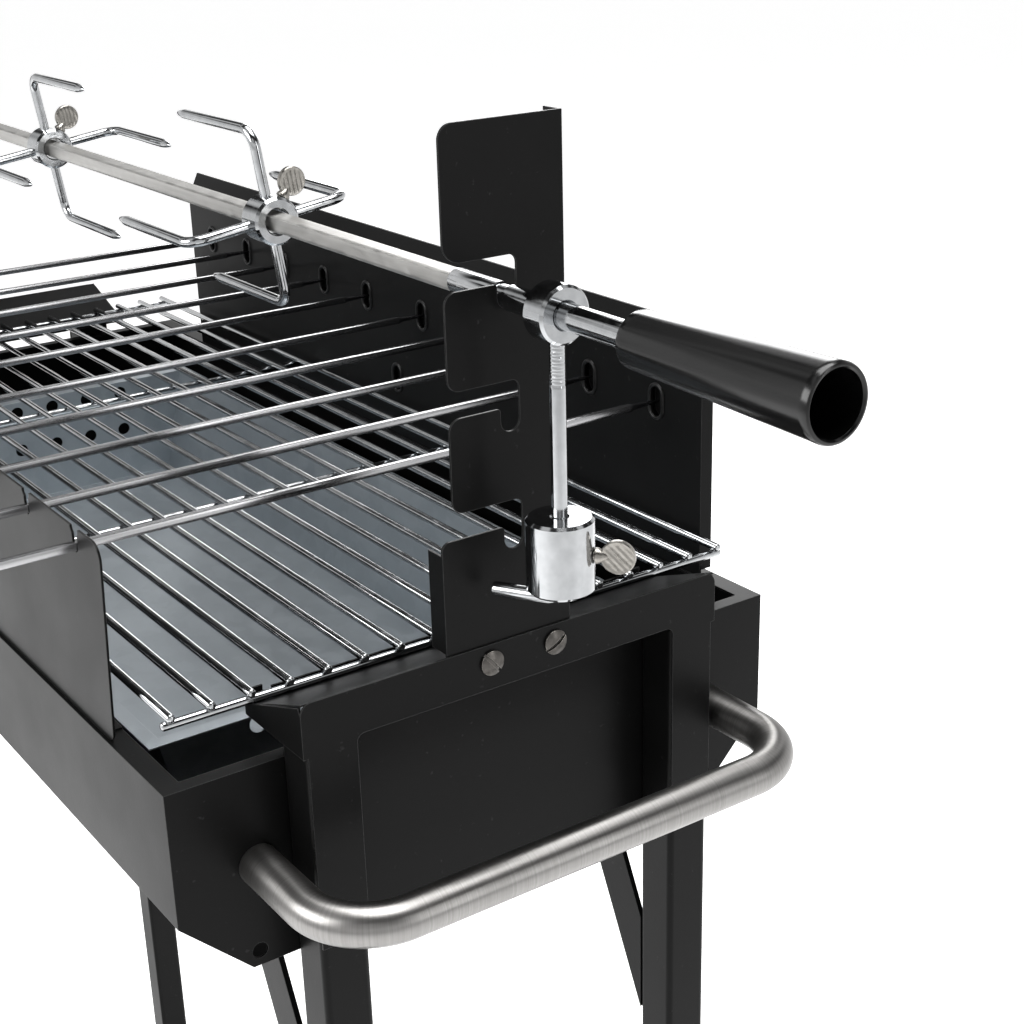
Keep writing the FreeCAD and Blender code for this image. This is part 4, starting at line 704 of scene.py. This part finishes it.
# --- Grip ----------------------------------------------------------------------------------------
# Moulded glossy black plastic pushed on the shaft: it swells towards its open, hollow end, and has
# shallow flutes that die out halfway.

grip_low, grip_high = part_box("grip")
grip_long = grip_high.x - grip_low.x
open_radius, inner_radius, grip_wall, hollow_deep = (grip_high.z - grip_low.z) / 2, 0.0124, 0.0025, 0.045
share = np.linspace(0.0, 1.0, 40)
swell = inner_radius + (open_radius - inner_radius) * share ** 1.1
shoulder = [(0.0, 0.0062), (0.0, inner_radius - 0.0012), (0.0004, inner_radius - 0.0004)]
outside = [(0.0012 + part * (grip_long - 0.0027), radius) for part, radius in zip(share, swell)]
mouth = [(grip_long - 0.0004, open_radius - 0.0005), (grip_long, open_radius - 0.0012),
         (grip_long, open_radius - grip_wall + 0.0008), (grip_long - 0.0008, open_radius - grip_wall)]
inside = [(grip_long - hollow_deep, open_radius - grip_wall - 0.001), (grip_long - hollow_deep, 0.0005)]
grip_profile = shoulder + outside + mouth + inside
grip_shape = turned((grip_low.x, spit_y, spit_z), (1, 0, 0), grip_profile, 96)
axis_point = np.array((0.0, spit_y, spit_z))
ring = grip_shape - axis_point
distance = grip_shape[:, :, 0] - grip_low.x
flute = 0.00028 * (np.cos(10 * ring_angles(96)) - 1)[None, :] * np.clip(1 - distance / 0.075, 0, 1)
flute *= (np.arange(len(grip_profile)) >= len(shoulder))[:, None] * (
    np.arange(len(grip_profile)) < len(shoulder) + len(outside))[:, None]
away = np.stack([np.zeros_like(distance), ring[:, :, 1], ring[:, :, 2]], axis=-1)
away /= np.linalg.norm(away, axis=-1, keepdims=True)
gloss_black = coated("glossy_black_plastic", grey(0.002), grey(0.004), 0.20, grey(0.02), 0.0004, bump=0.04,
                     gloss=0.4, fineness=500.0)
mesh_piece("grip_moulding", [grip_shape + flute[:, :, None] * away], gloss_black, "spit",
           ["grip"], crease=30.0)

# --- Plate screws --------------------------------------------------------------------------------
# Domed slotted screws, dark plated, two at each end: they clamp the spit plate behind its end frame.

dark_plating, add, shader = bare_material("dark_screw_plating")
where = add("TexCoord").outputs["Object"]
rubbed = add("TexNoise", None, {"Vector": where, "Scale": 350.0, "Detail": 4.0}).outputs[0]
edge = grouped(add, edge_group, Radius=0.0003)
plating = blend_colour(add, rubbed, (0.045, 0.043, 0.04, 1.0), (0.15, 0.14, 0.13, 1.0))
# Paler along every edge: partly worn plating, partly a painted highlight.
plating = blend_colour(add, edge.outputs["Mask"], plating, (0.45, 0.43, 0.40, 1.0))
link_inputs(shader, {"Base Color": plating, "Normal": edge.outputs["Normal"]})
shader.inputs["Metallic"].default_value = 1.0
shader.inputs["Roughness"].default_value = 0.32

head_radius, head_high, slot_half, slot_deep = 0.0062, 0.0026, 0.0009, 0.0012
head_seat, screw_shank, screw_long, sheets_behind = 0.0025, 0.0025, 0.0108, 0.0024
nut_profile = [(0.0, 0.0040), (0.0003, 0.0044), (0.0037, 0.0044), (0.0040, 0.0040)]


def slotted_head(base, outward, slot_turn):
    """Points of a domed head with a slot, on a square grid bent into a disc.

    A grid point (u, v) goes to (u * sqrt(1 - v^2 / 2), v * sqrt(1 - u^2 / 2)); its height is a
    shallow dome, lowered by slot_deep where |u| is inside the slot.
    """
    cut_at = slot_half / head_radius
    u = np.concatenate([np.linspace(-1, -cut_at, 9), [-cut_at + 1e-4, cut_at - 1e-4],
                        np.linspace(cut_at, 1, 9)])
    v = np.linspace(-1, 1, 19)
    grid_u, grid_v = np.meshgrid(u, v, indexing="ij")
    flat_x = grid_u * np.sqrt(1 - grid_v ** 2 / 2)
    flat_y = grid_v * np.sqrt(1 - grid_u ** 2 / 2)
    out = np.sqrt(flat_x ** 2 + flat_y ** 2)
    height = head_high * (1 - 0.55 * out ** 2) - slot_deep * (np.abs(grid_u) < cut_at)
    side = np.array((0.0, math.cos(slot_turn), math.sin(slot_turn)))
    other = np.cross(outward, side)
    top = (base + head_radius * (flat_x[..., None] * side + flat_y[..., None] * other)
           + height[..., None] * outward)
    return top


def screw_pair(name, node, outward):
    """Two heads, each a grid with a wall down to its seat, and the plain ends and nuts behind."""
    low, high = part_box(node)
    seat_x = high.x - head_seat if outward[0] > 0 else low.x + head_seat
    middle_z = (low.z + high.z) / 2
    points, faces = [], []
    bodies = []
    for index, (y, slot_turn) in enumerate(((low.y + head_radius, 0.7), (high.y - head_radius, 2.1))):
        base = np.array((seat_x, y, middle_z))
        top = slotted_head(base, np.asarray(outward, float), slot_turn)
        rows, columns = top.shape[:2]
        number = len(points) + np.arange(rows * columns).reshape(rows, columns)
        points += top.reshape(-1, 3).tolist()
        quads = np.stack([number[:-1, :-1], number[1:, :-1], number[1:, 1:], number[:-1, 1:]], axis=-1)
        faces += quads.reshape(-1, 4).tolist()
        rim = np.concatenate([number[:-1, 0], number[-1, :-1], number[:0:-1, -1], number[0, :0:-1]])
        rim_points = top.reshape(-1, 3)[rim - number[0, 0]]
        seat = rim_points - ((rim_points - base) @ outward)[:, None] * np.asarray(outward, float)
        seat_number = len(points) + np.arange(len(rim))
        points += seat.tolist()
        walls = np.stack([rim, seat_number, np.roll(seat_number, -1), np.roll(rim, -1)], axis=-1)
        faces += walls.tolist()
        faces.append(seat_number[::-1].tolist())
        inward = -np.asarray(outward, float)
        bodies.append(turned(base, inward, [(0.0, screw_shank), (screw_long, screw_shank)], 20))
        bodies.append(turned(base + inward * sheets_behind, inward, nut_profile, 6))
    mesh = bpy.data.meshes.new(name)
    mesh.from_pydata(points, [], faces)
    mesh.materials.append(dark_plating)
    mesh.shade_smooth()
    mesh.set_sharp_from_angle(angle=math.radians(40))
    heads = bpy.data.objects.new(name, mesh)
    bpy.context.scene.collection.objects.link(heads)
    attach(heads, "barbecue")
    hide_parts(node)
    mesh_piece(name + "_shanks", bodies, dark_plating, "barbecue", [])


screw_pair("plate_screw_heads_near", "plate_screws_near", (1.0, 0.0, 0.0))
screw_pair("plate_screw_heads_far", "plate_screws_far", (-1.0, 0.0, 0.0))
dress(dark_plating, "handle_screws")

# --- Cups in the wind panel ----------------------------------------------------------------------
# Each cup that takes a skewer's point is pressed into the sheet, which leaves a rounded lip, rubbed
# bright by the points.

cup_wear, add, shader = bare_material("rubbed_cup_lip")
where = add("TexCoord").outputs["Object"]
rubbed = add("TexNoise", None, {"Vector": where, "Scale": 300.0, "Detail": 4.0}).outputs[0]
bright = add("MapRange", None, {"Value": rubbed, "From Min": 0.45, "From Max": 0.65}).outputs[0]
skin = blend_colour(add, bright, grey(0.004), grey(0.012))
link_inputs(shader, {"Base Color": skin})
shader.inputs["Roughness"].default_value = 0.34
shader.inputs["Specular IOR Level"].default_value = 0.25
cup_half, cup_straight, lip = 0.0056, 0.004, 0.0012
panel_lean, panel_sheet = 0.0088, 0.0012
panel_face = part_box("wind_panel")[1].y - panel_lean - panel_sheet
cup_spots = [(joints["skewer_%d_turn" % n]["pos_m"][0], joints["skewer_%d_turn" % n]["pos_m"][2])
             for n in range(1, 11)]
cup_spots.append(((cup_spots[0][0] + cup_spots[-1][0]) / 2, fire_high.z + 0.042))
lips = []
for x, z in cup_spots:
    angle = np.linspace(0, 2 * math.pi, 49)[:-1]
    oval = np.stack([x + cup_half * np.cos(angle), np.full(48, panel_face),
                     z + cup_half * np.sin(angle) + cup_straight * np.sign(np.sin(angle) + 1e-9)], axis=1)
    along = np.roll(oval, -1, axis=0) - np.roll(oval, 1, axis=0)
    along /= np.linalg.norm(along, axis=1, keepdims=True)
    flat = np.array((0.0, 1.0, 0.0))
    side = np.cross(along, flat)
    around = ring_angles(10)
    lips.append(oval[:, None, :] + lip * (np.cos(around)[None, :, None] * flat
                                          + np.sin(around)[None, :, None] * side[:, None, :]))
mesh_piece("cup_lips", lips, cup_wear, "barbecue", [], closed=True)

# --- Wheels, axle and feet -----------------------------------------------------------------------
# Moulded wheels with a dished web, ribs and a hub, each with a hard rubber tyre, turn on a plain
# zinc-plated axle with a push-on cap at each end. The near legs stand in moulded caps.

moulded = coated("moulded_black_plastic", grey(0.014), grey(0.024), 0.50, grey(0.06), 0.0006, bump=0.25,
                 fineness=700.0)
tyre_rubber = coated("tyre_rubber", grey(0.012), grey(0.022), 0.72, grey(0.04), gloss=0.35, bump=0.5,
                     fineness=400.0)
for side in ("front", "back"):
    low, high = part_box("tyre_" + side)
    tyre_radius, tyre_wide = (high.x - low.x) / 2, high.y - low.y
    axle_x, axle_z = (low.x + high.x) / 2, joints["wheel_%s_turn" % side]["pos_m"][2]
    rim_low, rim_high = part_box("wheel_" + side)
    rim_radius = (rim_high.x - rim_low.x) / 2
    tread = [(0.0, rim_radius), (0.0, rim_radius + 0.006), (0.0012, tyre_radius - 0.004),
             (0.0045, tyre_radius - 0.0006), (0.008, tyre_radius), (0.0088, tyre_radius - 0.0018),
             (0.0102, tyre_radius - 0.0018), (0.011, tyre_radius)]
    section = tread + [(tyre_wide - distance, radius) for distance, radius in tread[::-1]]
    tyre_shape = turned((axle_x, low.y, axle_z), (0, 1, 0), section, 144)
    place = np.arange(len(section))
    treaded = (place > 2) & (place < len(section) - 3)
    lug = (np.cos(72 * ring_angles(144)) > 0)[None, :] * treaded[:, None]
    spin_axis = np.array((axle_x, 0.0, axle_z))
    spoke = tyre_shape - spin_axis
    spoke[:, :, 1] = 0.0
    spoke /= np.linalg.norm(spoke, axis=-1, keepdims=True)
    mesh_piece("tyre_%s_rubber" % side, [tyre_shape - 0.0007 * lug[:, :, None] * spoke], tyre_rubber,
               "%s_wheel" % side, ["tyre_" + side], closed=True)
    hub, bore = 0.016, 0.00506
    middle = tyre_wide / 2
    half = [(0.0, bore), (0.0, hub - 0.002), (0.002, hub), (middle - 0.004, hub + 0.0015),
            (middle - 0.002, hub + 0.006), (middle - 0.003, rim_radius - 0.010),
            (middle - 0.008, rim_radius - 0.006), (0.001, rim_radius - 0.004),
            (0.0, rim_radius - 0.003), (0.0, rim_radius)]
    section = half + [(tyre_wide - distance, radius) for distance, radius in half[::-1]]
    wheel_shape = turned((axle_x, low.y, axle_z), (0, 1, 0), section, 72)
    mesh_piece("wheel_%s_moulding" % side, [wheel_shape], moulded, "%s_wheel" % side,
               ["wheel_" + side], closed=True)
    ribs = []
    for number in range(6):
        heading = number * math.pi / 3
        outward = np.array((math.cos(heading), 0.0, math.sin(heading)))
        start = np.array((axle_x, low.y + middle, axle_z)) + outward * (hub - 0.001)
        end = start + outward * (rim_radius - hub - 0.004)
        rib_path = start + (end - start) * np.linspace(0, 1, 8)[:, None]
        depth = np.linspace(0.011, 0.008, 8)[:, None]
        angle = ring_angles(16)
        section = np.stack([np.cos(angle) * 0.0018, np.sin(angle)], axis=1)
        flat = np.cross(outward, (0, 1, 0))
        across = depth * squared(angle, 1.0, 6.0) * np.sin(angle)
        ribs.append(rib_path[:, None, :] + section[None, :, :1] * flat
                    + across[:, :, None] * np.array((0, 1.0, 0)))
    mesh_piece("wheel_%s_ribs" % side, ribs, moulded, "%s_wheel" % side, [])
dress(moulded, "foot_caps")
dress(zinc_bar, "axle", "drive_socket", "motor_studs")
dress(nickel, "axle_caps")

# --- Spit motor ----------------------------------------------------------------------------------
# A two-shell moulded housing with a parting seam, cooling louvres and a sliding battery lid with a
# ridged thumb patch; the switch is a red key. Two cells in plain sleeves stand behind the lid.

dress(moulded, "motor_housing", "battery_lid")
red_key = coated("red_switch_plastic", (0.36, 0.03, 0.02, 1.0), (0.50, 0.06, 0.04, 1.0), 0.35,
                 (0.70, 0.20, 0.15, 1.0))
dress(red_key, "motor_switch")

sleeve, add, shader = bare_material("cell_sleeve")
height = add("SeparateXYZ", None, {0: add("TexCoord").outputs["Object"]}).outputs[2]
wear = add("TexNoise", None, {"Vector": add("TexCoord").outputs["Object"], "Scale": 120.0}).outputs[0]
band = maths(add, "GREATER_THAN", height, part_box("battery_cells")[1].z - 0.016)
skin = blend_colour(add, band, (0.05, 0.08, 0.16, 1.0), (0.55, 0.34, 0.10, 1.0))
skin = blend_colour(add, maths(add, "MULTIPLY", wear, 0.2), skin, grey(0.3))
link_inputs(shader, {"Base Color": skin})
shader.inputs["Roughness"].default_value = 0.35
dress(sleeve, "battery_cells")


def bar_of(low, high, rounding=0.3):
    """A block between two corners with rounded long edges, as a squared section along X."""
    low, high = np.asarray(low, float), np.asarray(high, float)
    middle, half = (low + high) / 2, (high - low) / 2
    angle = ring_angles(20)
    ring_y, ring_z = np.cos(angle), np.sin(angle)
    radius = squared(angle, 1.0, 2 / rounding)
    stations = np.array([(-1.0, 0.80), (-0.97, 1.0), (0.97, 1.0), (1.0, 0.80)])
    x = middle[0] + half[0] * stations[:, :1]
    y = middle[1] + half[1] * stations[:, 1:] * (radius * ring_y)[None, :]
    z = middle[2] + half[2] * stations[:, 1:] * (radius * ring_z)[None, :]
    return np.stack([np.broadcast_to(x, y.shape), y, z], axis=-1)


case_low, case_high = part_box("motor_housing")
proud = 0.0008
louvres = []
for side_y in (case_low.y - proud, case_high.y - proud):
    for row in range(7):
        z = case_high.z - 0.018 - row * 0.006
        louvres.append(bar_of((case_low.x + 0.014, side_y, z),
                              (case_high.x - 0.010, side_y + 2 * proud, z + 0.0024)))
seam_x = (case_low.x + case_high.x) / 2 + 0.006
for flat_low, flat_high in (
        ((seam_x, case_low.y - 0.0004, case_low.z), (seam_x + 0.0012, case_low.y + 0.0008, case_high.z)),
        ((seam_x, case_high.y - 0.0008, case_low.z), (seam_x + 0.0012, case_high.y + 0.0004, case_high.z)),
        ((seam_x, case_low.y, case_high.z - 0.0008), (seam_x + 0.0012, case_high.y, case_high.z + 0.0004))):
    louvres.append(bar_of(flat_low, flat_high, 0.5))
mesh_piece("motor_louvres_and_seam", louvres, moulded, "barbecue", [])
lid_low, lid_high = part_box("battery_lid")
patch_y = (lid_low.y + lid_high.y) / 2
patch = [bar_of((lid_low.x - 0.0006, patch_y - 0.012, lid_high.z - 0.010 - row * 0.0028),
                (lid_low.x + 0.0006, patch_y + 0.012, lid_high.z - 0.0086 - row * 0.0028))
         for row in range(6)]
mesh_piece("lid_thumb_patch", patch, moulded, "lid", [])
